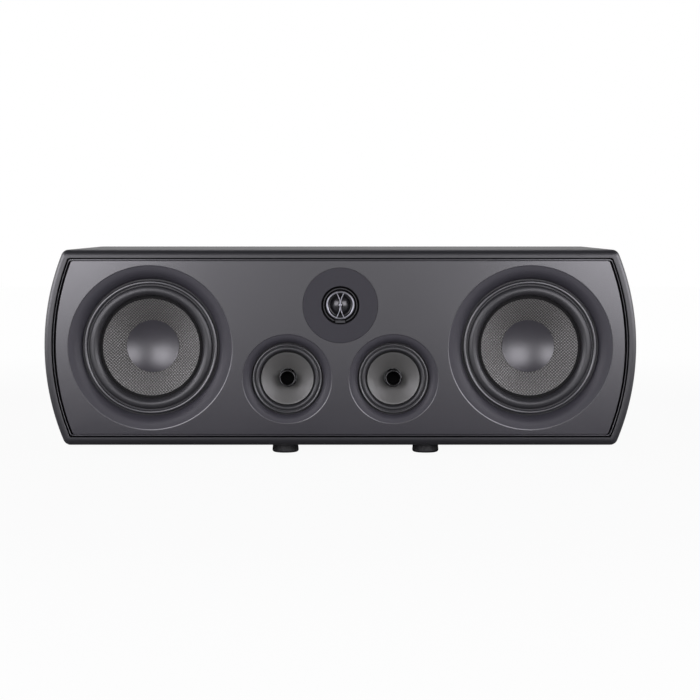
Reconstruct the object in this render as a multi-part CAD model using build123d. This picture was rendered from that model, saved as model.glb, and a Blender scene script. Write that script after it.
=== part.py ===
from build123d import *
from dataclasses import dataclass
from math import cos, radians, sin, sqrt, tan
import os

# Center channel speaker in millimetres, +Z up, with its front towards -Y.
# The origin is on the floor under the middle of the cabinet.
# A depth is counted backwards from the foremost line of the front frame.

# Cabinet
cabinet_width = 750.0  # between the fullest points of the bowed ends
cabinet_height = 248.0
cabinet_depth = 320.0
bow_radius = 315.0  # of the ends, seen from the front
corner_radius = 10.0  # where the top and bottom meet the ends
inner_corner = 4.0  # least corner radius of what is set into the frame
front_round = 9.0  # round-over of the front frame
rear_round = 3.0
wall = 18.0
frame_band = 10.7  # width of the frame round the fascia
panel_fit = 0.2  # between the cabinet and a panel that is set into it
back_thickness = 20.0
partition_thickness = 15.0
partition_share = 0.3653  # of the cabinet's width, between the partitions
lead_hole_radius = 7.0
lead_hole_height = 20.0  # above the cabinet's floor

# Front fascia, and the board that carries the drivers behind it
fascia_sink = 1.5  # behind the frame
fascia_thickness = 14.0
fascia_gap = 1.3  # shadow gap round the fascia
rim_width = 2.0  # bead round the fascia's edge
rim_round = 0.7
rim_groove_width = 1.3
rim_groove_depth = 2.0
board_thickness = 22.0
dish_lip_angle = 12.0  # slope of a dish where it leaves the fascia
seat_gap = 0.2  # between a driver's flange and what surrounds it
ring_gap = 0.9  # shadow gap round a trim ring

# Driver screws, all alike
screw_head_radius = 2.8
screw_shank_radius = 1.75
screw_length = 18.0
screw_fit = 0.1

# Shared by the cone drivers
basket_wall = 3.0
ledge_width = 5.0  # seat of the spider
ledge_thickness = 3.0
former_wall = 0.4
winding_thickness = 0.8
coil_gap = 0.45  # on either side of the voice coil
glue_line = 0.05
flex_gap = 0.2  # between a moving edge and the soft ring glued to it
spider_thickness = 0.8
spider_wave = 1.5
spider_waves = 5
leg_count = 6
leg_angle = 18.0

# Woofers
woofer_share = 0.6413  # of the cabinet's width, between the woofers' axes
woofer_z = 0.0  # above the cabinet's middle
woofer_dish_radius = 104.4
woofer_skin = 2.0  # fascia left over the flange
woofer_flange_radius = 93.0
woofer_flange_thickness = 4.5
woofer_flange_bore = 73.5
woofer_rebate = 2.7  # seat of the flange in the board
woofer_screw_circle = 89.6
woofer_screw_count = 6
woofer_ring_inner = 80.3
woofer_ring_outer = 85.4
woofer_ring_height = 5.0
woofer_ring_round = 1.8
woofer_land_radius = 81.4  # outer edge of the surround
woofer_roll_outer = 78.6
woofer_roll_inner = 66.0
woofer_roll_height = 4.6
woofer_rubber = 1.0
woofer_lip_drop = 4.0  # from the flange to the cone's lip
woofer_cone_radius = 61.4
woofer_cone_angle = 35.0
woofer_cone_thickness = 0.9
woofer_coil_radius = 19.1  # inside of the former
woofer_coil_height = 16.0
woofer_spider_radius = 57.0
woofer_spider_space = 12.0  # from the cone's neck to the spider
woofer_floor_space = 16.0  # from the spider's seat to the top plate
woofer_plate_radius = 56.0
woofer_plate_thickness = 8.0
woofer_magnet_radius = 54.0
woofer_magnet_bore = 30.0
woofer_magnet_height = 18.0
woofer_yoke_thickness = 8.0
woofer_vent_radius = 6.0
cap_radius = 33.4
cap_sag = 8.4  # the dust cap is hollow towards the front
cap_thickness = 0.8

# Midranges
mid_share = 0.1797  # of the cabinet's width, between the midranges' axes
mid_z = -39.6
mid_dish_radius = 57.0
mid_skin = 6.0
mid_flange_radius = 53.0
mid_flange_thickness = 4.0
mid_flange_bore = 37.2
mid_rebate = 1.5
mid_screw_circle = 49.6
mid_screw_count = 4
mid_ring_inner = 41.6
mid_ring_outer = 44.4
mid_ring_height = 4.4
mid_ring_round = 1.0
mid_land_radius = 42.6
mid_roll_outer = 40.6
mid_roll_inner = 35.2
mid_roll_height = 1.6
mid_rubber = 0.8
mid_lip_drop = 2.2
mid_cone_radius = 33.0
mid_cone_angle = 30.0
mid_cone_thickness = 0.7
mid_coil_radius = 12.0
mid_coil_height = 9.0
mid_spider_radius = 31.0
mid_spider_space = 7.0
mid_floor_space = 10.0
mid_plate_radius = 31.0
mid_plate_thickness = 5.0
mid_magnet_radius = 32.0
mid_magnet_bore = 17.0
mid_magnet_height = 12.0
mid_yoke_thickness = 5.0
mid_vent_radius = 3.0
plug_radius = 10.5
plug_rim = 2.0
plug_nose = 13.5  # depth of the plug's foremost line
plug_hollow = 13.0

# Tweeter
tweeter_z = 53.8
faceplate_radius = 47.4
faceplate_thickness = 4.0
faceplate_fit = 0.3
faceplate_hole = 23.4
faceplate_chamfer = 1.0
chassis_floor_sink = 1.5  # floor of the hole below the faceplate's back
rib_outer = 21.6
rib_width = 1.2
rib_height = 1.2
tab_width = 11.0  # small block in the rib, below the dome
tab_height = 3.1
tab_drop = 20.8
tab_gap = 1.3
chassis_bore = 16.4
motor_hole = 36.0  # in the board, behind the tweeter
tweeter_screw_circle = 41.0
tweeter_screw_count = 4
bridge_outer = 18.2
bridge_inner = 15.2
bridge_height = 2.8
bridge_ring_round = 0.9
bridge_bar = 1.5  # width of a leg
bridge_bar_depth = 1.3
bridge_waist = 0.3  # from the middle to the middle of each half of the bar
bridge_bar_end = 6.5  # where the bar splits into its legs
bridge_splay = 5.2  # of a leg's end
bridge_boss = 2.1
bridge_boss_depth = 2.4
dome_radius = 13.0
dome_rise = 6.0
dome_thickness = 0.3
dome_gap = 0.3  # between the boss and the dome
dome_roll_radius = 15.4
dome_roll_height = 0.9
dome_land_radius = 19.6
dome_land_thickness = 0.8
dome_coil_height = 5.0
dome_winding = 0.4
tweeter_plate_thickness = 4.0
tweeter_plate_radius = 30.0
tweeter_magnet_radius = 31.0
tweeter_magnet_bore = 17.0
tweeter_magnet_height = 11.0
tweeter_yoke_thickness = 4.0
tweeter_gap = 0.4

# Ports in the back, each behind its woofer
port_radius = 30.0
port_wall = 2.5
port_length = 130.0
port_flare = 12.0
port_flange_radius = 46.0
port_flange_thickness = 4.0

# Terminal cup and binding posts
cup_width = 72.0
cup_height = 52.0
cup_depth = 34.0
cup_wall = 2.5
cup_corner = 7.0
cup_flange = 12.0  # beyond the recess
cup_flange_thickness = 3.0
cup_flange_corner = 9.0
cup_screw_inset = 6.0
cup_screw_length = 14.0
post_spacing = 19.0
post_radius = 3.0
post_fit = 0.08
post_collar_radius = 6.4
post_collar_height = 3.0
post_shaft = 21.0  # beyond the collar
post_tail = 14.0  # inside the cabinet
socket_radius = 2.05
socket_length = 14.0
wire_hole_radius = 1.2
wire_hole_rise = 4.0  # beyond the collar
nut_radius = 6.0
nut_height = 4.0
washer_thickness = 1.2
washer_gap = 0.2
knob_radius = 7.2
knob_end_gap = 0.5
knob_end_wall = 1.6
knob_end_hole = 2.6
knob_flutes = 12
knob_flute_radius = 1.1
knob_round = 0.8

# Feet
foot_height = 13.0
foot_radius = 17.0
foot_taper = 1.0
foot_round = 3.0
foot_left_share = -0.0947  # of the cabinet's width, from its middle
foot_right_share = 0.146
foot_setback = 45.0  # of a foot's middle from the front and the back

# Crossover and damping
crossover_width = 170.0
crossover_length = 130.0
crossover_thickness = 1.6
crossover_depth = 190.0  # of its middle
standoff_height = 6.0
standoff_radius = 4.0
standoff_inset = 8.0
inductor_radius = 21.0
inductor_bore = 8.0
inductor_height = 22.0
inductor_flange = 2.0
inductor_groove = 2.0
inductor_spacing = 54.0
capacitor_radius = 11.0
capacitor_length = 44.0
capacitor_spacing = 54.0
resistor_side = 9.0
resistor_length = 48.0
resistor_spacing = 54.0
row_inset = 23.0  # of the outer rows of components from the board's ends
component_gap = 0.2
foam_thickness = 20.0
foam_front = 125.0
foam_back_gap = 10.0  # to the back panel
foam_wall_gap = 10.0  # to a partition
foam_end_gap = 60.0  # to the cabinet's fullest point

# Places, depths and heights that follow
woofer_x = woofer_share * cabinet_width / 2
mid_x = mid_share * cabinet_width / 2
partition_x = partition_share * cabinet_width / 2
port_x = woofer_x
foot_places = (foot_left_share * cabinet_width, foot_right_share * cabinet_width)
front_y = -cabinet_depth / 2
middle_z = foot_height + cabinet_height / 2
floor_z = foot_height + wall
ceiling_z = foot_height + cabinet_height - wall
board_front = fascia_sink + fascia_thickness
board_back = board_front + board_thickness
back_front = cabinet_depth - back_thickness
cup_floor = cabinet_depth - cup_depth
collar_end = cup_floor + post_collar_height
post_tip = collar_end + post_shaft
knob_start = collar_end + 2 * washer_gap + washer_thickness
knob_end = post_tip + knob_end_gap + knob_end_wall
crossover_top = floor_z + standoff_height + crossover_thickness
component_row = crossover_length / 2 - row_inset
overshoot = 1.0  # of a cutter past the face that it opens


@dataclass
class Bend:
    """A step of a profile that goes through one point to another on an arc."""

    via: tuple
    to: tuple


def outline(inset):
    """The bowed front outline of the cabinet, drawn in by an inset."""
    half_width = cabinet_width / 2 - inset
    half_height = cabinet_height / 2 - inset
    radius = bow_radius - inset
    corner_x = half_width - radius + sqrt(radius**2 - half_height**2)
    right = ThreePointArc((corner_x, half_height), (half_width, 0), (corner_x, -half_height))
    bottom = Line((corner_x, -half_height), (-corner_x, -half_height))
    left = ThreePointArc((-corner_x, -half_height), (-half_width, 0), (-corner_x, half_height))
    top = Line((-corner_x, half_height), (corner_x, half_height))
    face = make_face([right, bottom, left, top])
    return fillet(face.vertices(), max(corner_radius - inset, inner_corner))


def slab(face, start, end):
    """A front-view face as a slab between two depths, drawn from the cabinet's middle."""
    plane = Plane(origin=(0, front_y + start, middle_z), x_dir=(1, 0, 0), z_dir=(0, -1, 0))
    return extrude(plane * face, amount=end - start, dir=(0, 1, 0))


def profile(start, *steps):
    """A closed profile face from a start point through lines and bends."""
    edges = []
    here = start
    for step in (*steps, start):
        if isinstance(step, Bend):
            edges.append(ThreePointArc(here, step.via, step.to))
            here = step.to
        elif step != here:
            edges.append(Line(here, step))
            here = step
    return make_face(edges)


def turned(x, z, *steps, arc=360.0, spin=0.0):
    """A profile of (radius, depth) steps turned about an axis that runs back at x, z."""
    return Pos(x, front_y, middle_z + z) * Rot(0, spin, 0) * revolve(profile(*steps), Axis.Y, arc)


def upright(x, y, z, *steps):
    """A profile of (radius, height) steps turned about an upright axis."""
    return Pos(x, y, z) * Rot(90, 0, 0) * revolve(profile(*steps), Axis.Y)


def disc(x, z, radius, start, end):
    """A round plug along the depth, as a solid or a cutter."""
    return turned(x, z, (0, start), (radius, start), (radius, end), (0, end))


def ring(x, z, inner, outer, start, end):
    """A plain round ring along the depth."""
    return turned(x, z, (inner, start), (outer, start), (outer, end), (inner, end))


def around(x, z, circle, count):
    """Places evenly spaced on a circle about a driver's axis."""
    turns = [radians(360.0 * (index + 0.5) / count) for index in range(count)]
    return [(x + circle * cos(turn), z + circle * sin(turn)) for turn in turns]


def screw(x, z, head, length, way=1, fit=0.0):
    """A countersunk screw with its head at a depth, or with a fit its hole."""
    top = screw_head_radius + fit
    shank = screw_shank_radius + fit
    neck = head + way * (top - shank)
    end = head + way * (length + fit)
    return turned(x, z, (0, head), (top, head), (shank, neck), (shank, end), (0, end))


@dataclass
class ConeDriver:
    """The sizes of one kind of cone driver, and the depths that follow from them."""

    x: float
    z: float
    dish_radius: float
    skin: float
    flange_radius: float
    flange_thickness: float
    flange_bore: float
    rebate: float
    screw_circle: float
    screw_count: int
    ring_inner: float
    ring_outer: float
    ring_height: float
    ring_round: float
    land_radius: float
    roll_outer: float
    roll_inner: float
    roll_height: float
    rubber: float
    lip_drop: float
    cone_radius: float
    cone_angle: float
    cone_thickness: float
    coil_radius: float
    coil_height: float
    spider_radius: float
    spider_space: float
    floor_space: float
    plate_radius: float
    plate_thickness: float
    magnet_radius: float
    magnet_bore: float
    magnet_height: float
    yoke_thickness: float
    vent_radius: float

    def __post_init__(self):
        self.seat = board_front + self.rebate
        self.flange_front = self.seat - self.flange_thickness
        self.land_front = self.flange_front - self.rubber
        self.pocket_front = self.flange_front - seat_gap
        self.dish_bottom = self.pocket_front - self.skin
        self.fascia_hole = self.ring_outer + ring_gap
        self.waist = self.flange_bore + basket_wall
        self.lip = self.flange_front + self.lip_drop
        self.former_outer = self.coil_radius + former_wall
        self.winding_outer = self.former_outer + winding_thickness
        self.slope = tan(radians(self.cone_angle))
        self.neck = self.lip + (self.cone_radius - self.former_outer) * self.slope
        self.ledge = self.neck + self.spider_space
        self.plate_front = self.ledge + self.floor_space
        self.plate_back = self.plate_front + self.plate_thickness
        self.yoke_front = self.plate_back + self.magnet_height
        self.yoke_back = self.yoke_front + self.yoke_thickness
        self.gap_radius = self.winding_outer + coil_gap
        self.pole_radius = self.coil_radius - coil_gap

    def cone_front(self, radius):
        """Depth of the cone's face at a radius."""
        return self.lip + (self.cone_radius - radius) * self.slope


woofer_sizes = dict(
    z=woofer_z,
    dish_radius=woofer_dish_radius,
    skin=woofer_skin,
    flange_radius=woofer_flange_radius,
    flange_thickness=woofer_flange_thickness,
    flange_bore=woofer_flange_bore,
    rebate=woofer_rebate,
    screw_circle=woofer_screw_circle,
    screw_count=woofer_screw_count,
    ring_inner=woofer_ring_inner,
    ring_outer=woofer_ring_outer,
    ring_height=woofer_ring_height,
    ring_round=woofer_ring_round,
    land_radius=woofer_land_radius,
    roll_outer=woofer_roll_outer,
    roll_inner=woofer_roll_inner,
    roll_height=woofer_roll_height,
    rubber=woofer_rubber,
    lip_drop=woofer_lip_drop,
    cone_radius=woofer_cone_radius,
    cone_angle=woofer_cone_angle,
    cone_thickness=woofer_cone_thickness,
    coil_radius=woofer_coil_radius,
    coil_height=woofer_coil_height,
    spider_radius=woofer_spider_radius,
    spider_space=woofer_spider_space,
    floor_space=woofer_floor_space,
    plate_radius=woofer_plate_radius,
    plate_thickness=woofer_plate_thickness,
    magnet_radius=woofer_magnet_radius,
    magnet_bore=woofer_magnet_bore,
    magnet_height=woofer_magnet_height,
    yoke_thickness=woofer_yoke_thickness,
    vent_radius=woofer_vent_radius,
)
mid_sizes = dict(
    z=mid_z,
    dish_radius=mid_dish_radius,
    skin=mid_skin,
    flange_radius=mid_flange_radius,
    flange_thickness=mid_flange_thickness,
    flange_bore=mid_flange_bore,
    rebate=mid_rebate,
    screw_circle=mid_screw_circle,
    screw_count=mid_screw_count,
    ring_inner=mid_ring_inner,
    ring_outer=mid_ring_outer,
    ring_height=mid_ring_height,
    ring_round=mid_ring_round,
    land_radius=mid_land_radius,
    roll_outer=mid_roll_outer,
    roll_inner=mid_roll_inner,
    roll_height=mid_roll_height,
    rubber=mid_rubber,
    lip_drop=mid_lip_drop,
    cone_radius=mid_cone_radius,
    cone_angle=mid_cone_angle,
    cone_thickness=mid_cone_thickness,
    coil_radius=mid_coil_radius,
    coil_height=mid_coil_height,
    spider_radius=mid_spider_radius,
    spider_space=mid_spider_space,
    floor_space=mid_floor_space,
    plate_radius=mid_plate_radius,
    plate_thickness=mid_plate_thickness,
    magnet_radius=mid_magnet_radius,
    magnet_bore=mid_magnet_bore,
    magnet_height=mid_magnet_height,
    yoke_thickness=mid_yoke_thickness,
    vent_radius=mid_vent_radius,
)
woofers = {
    "left_woofer": ConeDriver(x=-woofer_x, **woofer_sizes),
    "right_woofer": ConeDriver(x=woofer_x, **woofer_sizes),
}
mids = {
    "left_mid": ConeDriver(x=-mid_x, **mid_sizes),
    "right_mid": ConeDriver(x=mid_x, **mid_sizes),
}
cone_drivers = {**woofers, **mids}

# Depths of the tweeter that follow
chassis_front = fascia_sink + faceplate_thickness
chassis_floor = chassis_front + chassis_floor_sink
bridge_front = chassis_floor - bridge_height
boss_back = bridge_front + bridge_boss_depth
dome_apex = boss_back + dome_gap
dome_base = dome_apex + dome_rise
dome_land_back = dome_base + dome_land_thickness
dome_former = dome_radius - dome_thickness
dome_winding_outer = dome_radius + dome_winding
dome_gap_radius = dome_winding_outer + tweeter_gap
tweeter_plate_back = dome_land_back + tweeter_plate_thickness
tweeter_yoke_front = tweeter_plate_back + tweeter_magnet_height
tweeter_yoke_back = tweeter_yoke_front + tweeter_yoke_thickness
tweeter_places = around(0, tweeter_z, tweeter_screw_circle, tweeter_screw_count)


def cabinet_shell():
    """The lacquered shell: bowed ends, rounded front frame, rebates for both panels."""
    shell = slab(outline(0), 0, cabinet_depth)
    front_edges = shell.faces().sort_by(Axis.Y)[0].edges()
    shell = fillet(front_edges, front_round)
    shell = fillet(shell.faces().sort_by(Axis.Y)[-1].edges(), rear_round)
    shell -= slab(outline(frame_band), -overshoot, board_back)
    shell -= slab(outline(wall), board_back, back_front)
    shell -= slab(outline(frame_band), back_front, cabinet_depth + overshoot)
    return shell


def driver_cut(driver):
    """What a cone driver takes out of the fascia: dish, hole and pocket for the flange."""
    dish_end = (driver.fascia_hole, driver.dish_bottom)
    lip = Vector(-cos(radians(dish_lip_angle)), sin(radians(dish_lip_angle)))
    face = make_face(
        [
            Line((0, -overshoot), (driver.dish_radius, -overshoot)),
            Line((driver.dish_radius, -overshoot), (driver.dish_radius, fascia_sink)),
            TangentArc((driver.dish_radius, fascia_sink), dish_end, tangent=lip),
            Line(dish_end, (driver.fascia_hole, driver.pocket_front)),
            Line((driver.fascia_hole, driver.pocket_front), (0, driver.pocket_front)),
            Line((0, driver.pocket_front), (0, -overshoot)),
        ]
    )
    dish = Pos(driver.x, front_y, middle_z + driver.z) * revolve(face, Axis.Y)
    pocket_radius = driver.flange_radius + seat_gap
    return dish + disc(driver.x, driver.z, pocket_radius, driver.pocket_front, board_front + overshoot)


def front_fascia():
    """The moulded front: a bead and a groove round its edge, and a dish round each cone."""
    edge = frame_band + fascia_gap
    panel = slab(outline(edge), fascia_sink, board_front)
    groove = slab(outline(edge + rim_width), fascia_sink - overshoot, fascia_sink + rim_groove_depth)
    groove -= slab(outline(edge + rim_width + rim_groove_width), -overshoot, board_front)
    panel -= groove
    face_y = front_y + fascia_sink
    panel = fillet(panel.edges().filter_by_position(Axis.Y, face_y, face_y), rim_round)
    for driver in cone_drivers.values():
        panel -= driver_cut(driver)
    panel -= disc(0, tweeter_z, faceplate_radius + faceplate_fit, 0, board_front + overshoot)
    return panel


def baffle_board():
    """The board behind the fascia, with a hole, a seat and screw holes for each driver."""
    board = slab(outline(frame_band + panel_fit), board_front, board_back)
    for driver in cone_drivers.values():
        x, z = driver.x, driver.z
        board -= disc(x, z, driver.flange_radius + seat_gap, board_front - overshoot, driver.seat)
        board -= disc(x, z, driver.waist + seat_gap, board_front, board_back + overshoot)
        for place_x, place_z in around(x, z, driver.screw_circle, driver.screw_count):
            board -= screw(place_x, place_z, driver.flange_front, screw_length, fit=screw_fit)
    board -= disc(0, tweeter_z, motor_hole, board_front - overshoot, board_back + overshoot)
    for place_x, place_z in tweeter_places:
        board -= screw(place_x, place_z, chassis_front, screw_length, fit=screw_fit)
    return board


def back_panel():
    """The panel that closes the back, with holes for the ports and the terminal cup."""
    panel = slab(outline(frame_band + panel_fit), back_front, cabinet_depth)
    port_hole = port_radius + port_flare + port_wall
    for x in (-port_x, port_x):
        panel -= disc(x, 0, port_hole + panel_fit, back_front - overshoot, cabinet_depth + overshoot)
        flange_seat = cabinet_depth - port_flange_thickness
        panel -= disc(x, 0, port_flange_radius + panel_fit, flange_seat, cabinet_depth + overshoot)
    panel -= cup_block(2 * (cup_wall + panel_fit), back_front - overshoot, cabinet_depth + overshoot)
    panel -= cup_rim(panel_fit, cabinet_depth - cup_flange_thickness, cabinet_depth + overshoot)
    for x, z in cup_screw_places():
        panel -= screw(x, z, cabinet_depth, cup_screw_length, way=-1, fit=screw_fit)
    return panel


def chamber_partitions():
    """The two walls that part the woofers' chambers from the middle one."""
    walls = []
    for x in (-partition_x, partition_x):
        sheet = Pos(x, 0) * Rectangle(partition_thickness, cabinet_height - 2 * wall)
        part = slab(sheet, board_back, back_front)
        hole_y = front_y + crossover_depth
        hole = Pos(x, hole_y, floor_z + lead_hole_height) * Rot(0, 90, 0)
        part -= hole * Cylinder(lead_hole_radius, partition_thickness + overshoot)
        walls.append(part)
    return walls


def port_tube(x):
    """A port: a straight tube that flares to a flange let into the back."""
    inner_end = cabinet_depth - port_length
    flare_edge = port_radius + port_flare
    bend = port_flare * (1 - cos(radians(45)))
    flange_seat = cabinet_depth - port_flange_thickness
    return turned(
        x,
        0,
        (port_radius, inner_end),
        (port_radius + port_wall, inner_end),
        (port_radius + port_wall, cabinet_depth - port_flare - port_wall),
        (flare_edge + port_wall, flange_seat),
        (port_flange_radius, flange_seat),
        (port_flange_radius, cabinet_depth),
        (flare_edge, cabinet_depth),
        Bend((port_radius + bend, cabinet_depth - bend), (port_radius, cabinet_depth - port_flare)),
    )


def cup_block(margin, start, end):
    """A rounded block about the terminal cup's recess, wider by a margin."""
    corner = cup_corner + margin / 2
    return slab(RectangleRounded(cup_width + margin, cup_height + margin, corner), start, end)


def cup_rim(fit, start, end):
    """The terminal cup's flange, or with a fit the seat that it lies in."""
    width = cup_width + 2 * (cup_flange + fit)
    height = cup_height + 2 * (cup_flange + fit)
    return slab(RectangleRounded(width, height, cup_flange_corner + fit), start, end)


def cup_screw_places():
    """The four corners of the terminal cup's flange."""
    half_width = cup_width / 2 + cup_flange - cup_screw_inset
    half_height = cup_height / 2 + cup_flange - cup_screw_inset
    return [(x, z) for x in (-half_width, half_width) for z in (-half_height, half_height)]


def terminal_cup():
    """The moulded recess for the binding posts, flush with the back."""
    cup = cup_rim(0, cabinet_depth - cup_flange_thickness, cabinet_depth)
    cup += cup_block(2 * cup_wall, cup_floor - cup_wall, cabinet_depth)
    cup -= cup_block(0, cup_floor, cabinet_depth + overshoot)
    for x in (-post_spacing / 2, post_spacing / 2):
        hole_start = cup_floor - cup_wall - overshoot
        cup -= disc(x, 0, post_radius + post_fit, hole_start, cup_floor + overshoot)
    for x, z in cup_screw_places():
        cup -= screw(x, z, cabinet_depth, cup_screw_length, way=-1, fit=screw_fit)
    return cup


def basket(driver):
    """The cast basket: flange, six legs, seat of the spider, and the top plate staked to it."""
    x, z = driver.x, driver.z
    inner_foot = driver.spider_radius + flex_gap
    foot = inner_foot + basket_wall
    ledge_inner = driver.spider_radius - ledge_width
    shoulder = driver.seat + basket_wall
    frame = turned(
        x,
        z,
        (driver.flange_bore, driver.flange_front),
        (driver.flange_radius, driver.flange_front),
        (driver.flange_radius, driver.seat),
        (driver.waist, driver.seat),
        (driver.waist, shoulder),
        (foot, driver.ledge),
        (foot, driver.plate_front),
        (driver.plate_radius, driver.plate_front),
        (driver.plate_radius, driver.plate_back),
        (driver.gap_radius, driver.plate_back),
        (driver.gap_radius, driver.plate_front),
        (ledge_inner, driver.plate_front),
        (ledge_inner, driver.plate_front - ledge_thickness),
        (inner_foot, driver.plate_front - ledge_thickness),
        (inner_foot, driver.ledge + ledge_thickness),
        (ledge_inner, driver.ledge + ledge_thickness),
        (ledge_inner, driver.ledge),
        (inner_foot, driver.ledge),
        (inner_foot, driver.ledge - basket_wall),
        (driver.flange_bore, shoulder),
    )
    window_front = shoulder + basket_wall
    window_back = driver.ledge - 2 * basket_wall
    step = 360.0 / leg_count
    for index in range(leg_count):
        frame -= turned(
            x,
            z,
            (ledge_inner, window_front),
            (driver.waist + overshoot, window_front),
            (driver.waist + overshoot, window_back),
            (ledge_inner, window_back),
            arc=step - leg_angle,
            spin=index * step,
        )
    for place_x, place_z in around(x, z, driver.screw_circle, driver.screw_count):
        frame -= screw(place_x, place_z, driver.flange_front, screw_length, fit=screw_fit)
    return frame


def trim_ring(driver):
    """The rounded ring that holds the surround's edge down on the flange."""
    land_edge = driver.land_radius + flex_gap
    crest = driver.flange_front - driver.ring_height
    shoulder = crest + driver.ring_round
    middle = (driver.ring_inner + driver.ring_outer) / 2
    return turned(
        driver.x,
        driver.z,
        (driver.ring_inner, driver.land_front),
        (land_edge, driver.land_front),
        (land_edge, driver.flange_front),
        (driver.ring_outer, driver.flange_front),
        (driver.ring_outer, shoulder),
        Bend((middle, crest), (driver.ring_inner, shoulder)),
    )


def surround(driver):
    """The rubber half-roll between the flange and the cone's lip."""
    inner = (driver.roll_inner, driver.lip - driver.rubber)
    crest = ((driver.roll_inner + driver.roll_outer) / 2, driver.land_front - driver.roll_height)
    outer = (driver.roll_outer, driver.land_front)
    roll = ThreePointArc(inner, crest, outer)
    hub = roll.arc_center
    share = 1 - driver.rubber / roll.radius
    under = [(hub.X + (r - hub.X) * share, hub.Y + (d - hub.Y) * share) for r, d in (inner, crest, outer)]
    cone_edge = driver.cone_radius + flex_gap
    return turned(
        driver.x,
        driver.z,
        (cone_edge, inner[1]),
        inner,
        Bend(crest, outer),
        (driver.land_radius, driver.land_front),
        (driver.land_radius, driver.flange_front),
        (under[2][0], driver.flange_front),
        under[2],
        Bend(under[1], under[0]),
        (under[0][0], driver.lip),
        (cone_edge, driver.lip),
    )


def cone(driver):
    """The straight-sided cone with a flat lip for the surround."""
    skin = driver.cone_thickness / cos(radians(driver.cone_angle))
    neck_radius = driver.former_outer + glue_line
    neck = driver.cone_front(neck_radius)
    lip_edge = driver.roll_inner - flex_gap
    return turned(
        driver.x,
        driver.z,
        (lip_edge, driver.lip),
        (driver.cone_radius, driver.lip),
        (neck_radius, neck),
        (neck_radius, neck + skin),
        (driver.cone_radius, driver.lip + skin),
        (lip_edge, driver.lip + driver.cone_thickness),
    )


def dust_cap(driver):
    """The hollow cap glued to the cone over the voice coil."""
    edge = driver.cone_front(cap_radius) - cap_thickness - glue_line
    ball = (cap_radius**2 + cap_sag**2) / (2 * cap_sag)
    half = cap_radius / 2
    half_depth = edge + cap_sag - ball + sqrt(ball**2 - half**2)
    return turned(
        driver.x,
        driver.z,
        (0, edge + cap_sag),
        Bend((half, half_depth), (cap_radius, edge)),
        (cap_radius, edge + cap_thickness),
        Bend((half, half_depth + cap_thickness), (0, edge + cap_sag + cap_thickness)),
    )


def voice_coil(driver):
    """The coil's former with its winding, centred in the magnet's gap."""
    middle = (driver.plate_front + driver.plate_back) / 2
    start = middle - driver.coil_height / 2
    end = middle + driver.coil_height / 2
    return turned(
        driver.x,
        driver.z,
        (driver.coil_radius, driver.neck - former_wall),
        (driver.former_outer, driver.neck - former_wall),
        (driver.former_outer, start),
        (driver.winding_outer, start),
        (driver.winding_outer, end),
        (driver.coil_radius, end),
    )


def spider(driver):
    """The corrugated disc that centres the voice coil."""
    inner = driver.former_outer + flex_gap
    land = driver.spider_radius - ledge_width
    step = (land - inner) / (2 * spider_waves)
    top = driver.ledge - spider_thickness
    folds = range(2 * spider_waves)
    crests = [(inner + index * step, top - spider_wave * (index % 2)) for index in folds]
    upper = [*crests, (land, top), (driver.spider_radius, top)]
    lower = [(radius, depth + spider_thickness) for radius, depth in reversed(upper)]
    return turned(driver.x, driver.z, *upper, *lower)


def magnet(driver):
    """The magnet ring behind the top plate."""
    back = driver.yoke_front
    return ring(driver.x, driver.z, driver.magnet_bore, driver.magnet_radius, driver.plate_back, back)


def yoke(driver):
    """The back plate with its pole, and the vent through it."""
    return turned(
        driver.x,
        driver.z,
        (driver.vent_radius, driver.plate_front),
        (driver.pole_radius, driver.plate_front),
        (driver.pole_radius, driver.yoke_front),
        (driver.magnet_radius, driver.yoke_front),
        (driver.magnet_radius, driver.yoke_back),
        (driver.vent_radius, driver.yoke_back),
    )


def phase_plug(driver):
    """The fixed plug on the pole, with a hollow nose and a rounded rim."""
    rim_middle = plug_radius - plug_rim / 2
    rim_back = plug_nose + plug_rim / 2
    hollow_radius = plug_radius - plug_rim
    hollow_floor = plug_nose + plug_hollow
    return turned(
        driver.x,
        driver.z,
        (0, hollow_floor),
        (hollow_radius, hollow_floor),
        (hollow_radius, rim_back),
        Bend((rim_middle, plug_nose), (plug_radius, rim_back)),
        (plug_radius, driver.plate_front),
        (0, driver.plate_front),
    )


def tweeter_faceplate():
    """The round cover plate, flush with the fascia."""
    return turned(
        0,
        tweeter_z,
        (faceplate_hole, fascia_sink + faceplate_chamfer),
        (faceplate_hole + faceplate_chamfer, fascia_sink),
        (faceplate_radius, fascia_sink),
        (faceplate_radius, chassis_front),
        (faceplate_hole, chassis_front),
    )


def tweeter_chassis():
    """The chassis under the faceplate: floor with a rib, hub, and the top plate moulded in."""
    rib_top = chassis_floor - rib_height
    land_edge = dome_land_radius + panel_fit
    frame = turned(
        0,
        tweeter_z,
        (chassis_bore, chassis_floor),
        (rib_outer - rib_width, chassis_floor),
        (rib_outer - rib_width, rib_top),
        (rib_outer, rib_top),
        (rib_outer, chassis_floor),
        (faceplate_hole, chassis_floor),
        (faceplate_hole, chassis_front),
        (faceplate_radius, chassis_front),
        (faceplate_radius, board_front),
        (tweeter_plate_radius, board_front),
        (tweeter_plate_radius, tweeter_plate_back),
        (dome_gap_radius, tweeter_plate_back),
        (dome_gap_radius, dome_land_back),
        (land_edge, dome_land_back),
        (land_edge, dome_base),
        (chassis_bore, dome_base),
    )
    tab_place = Pos(0, tweeter_z - tab_drop)
    frame -= slab(tab_place * Rectangle(tab_width + 2 * tab_gap, tab_height), rib_top, chassis_floor)
    frame += slab(tab_place * Rectangle(tab_width, tab_height), rib_top, chassis_floor)
    for place_x, place_z in tweeter_places:
        frame -= screw(place_x, place_z, chassis_front, screw_length, fit=screw_fit)
    return frame


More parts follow.
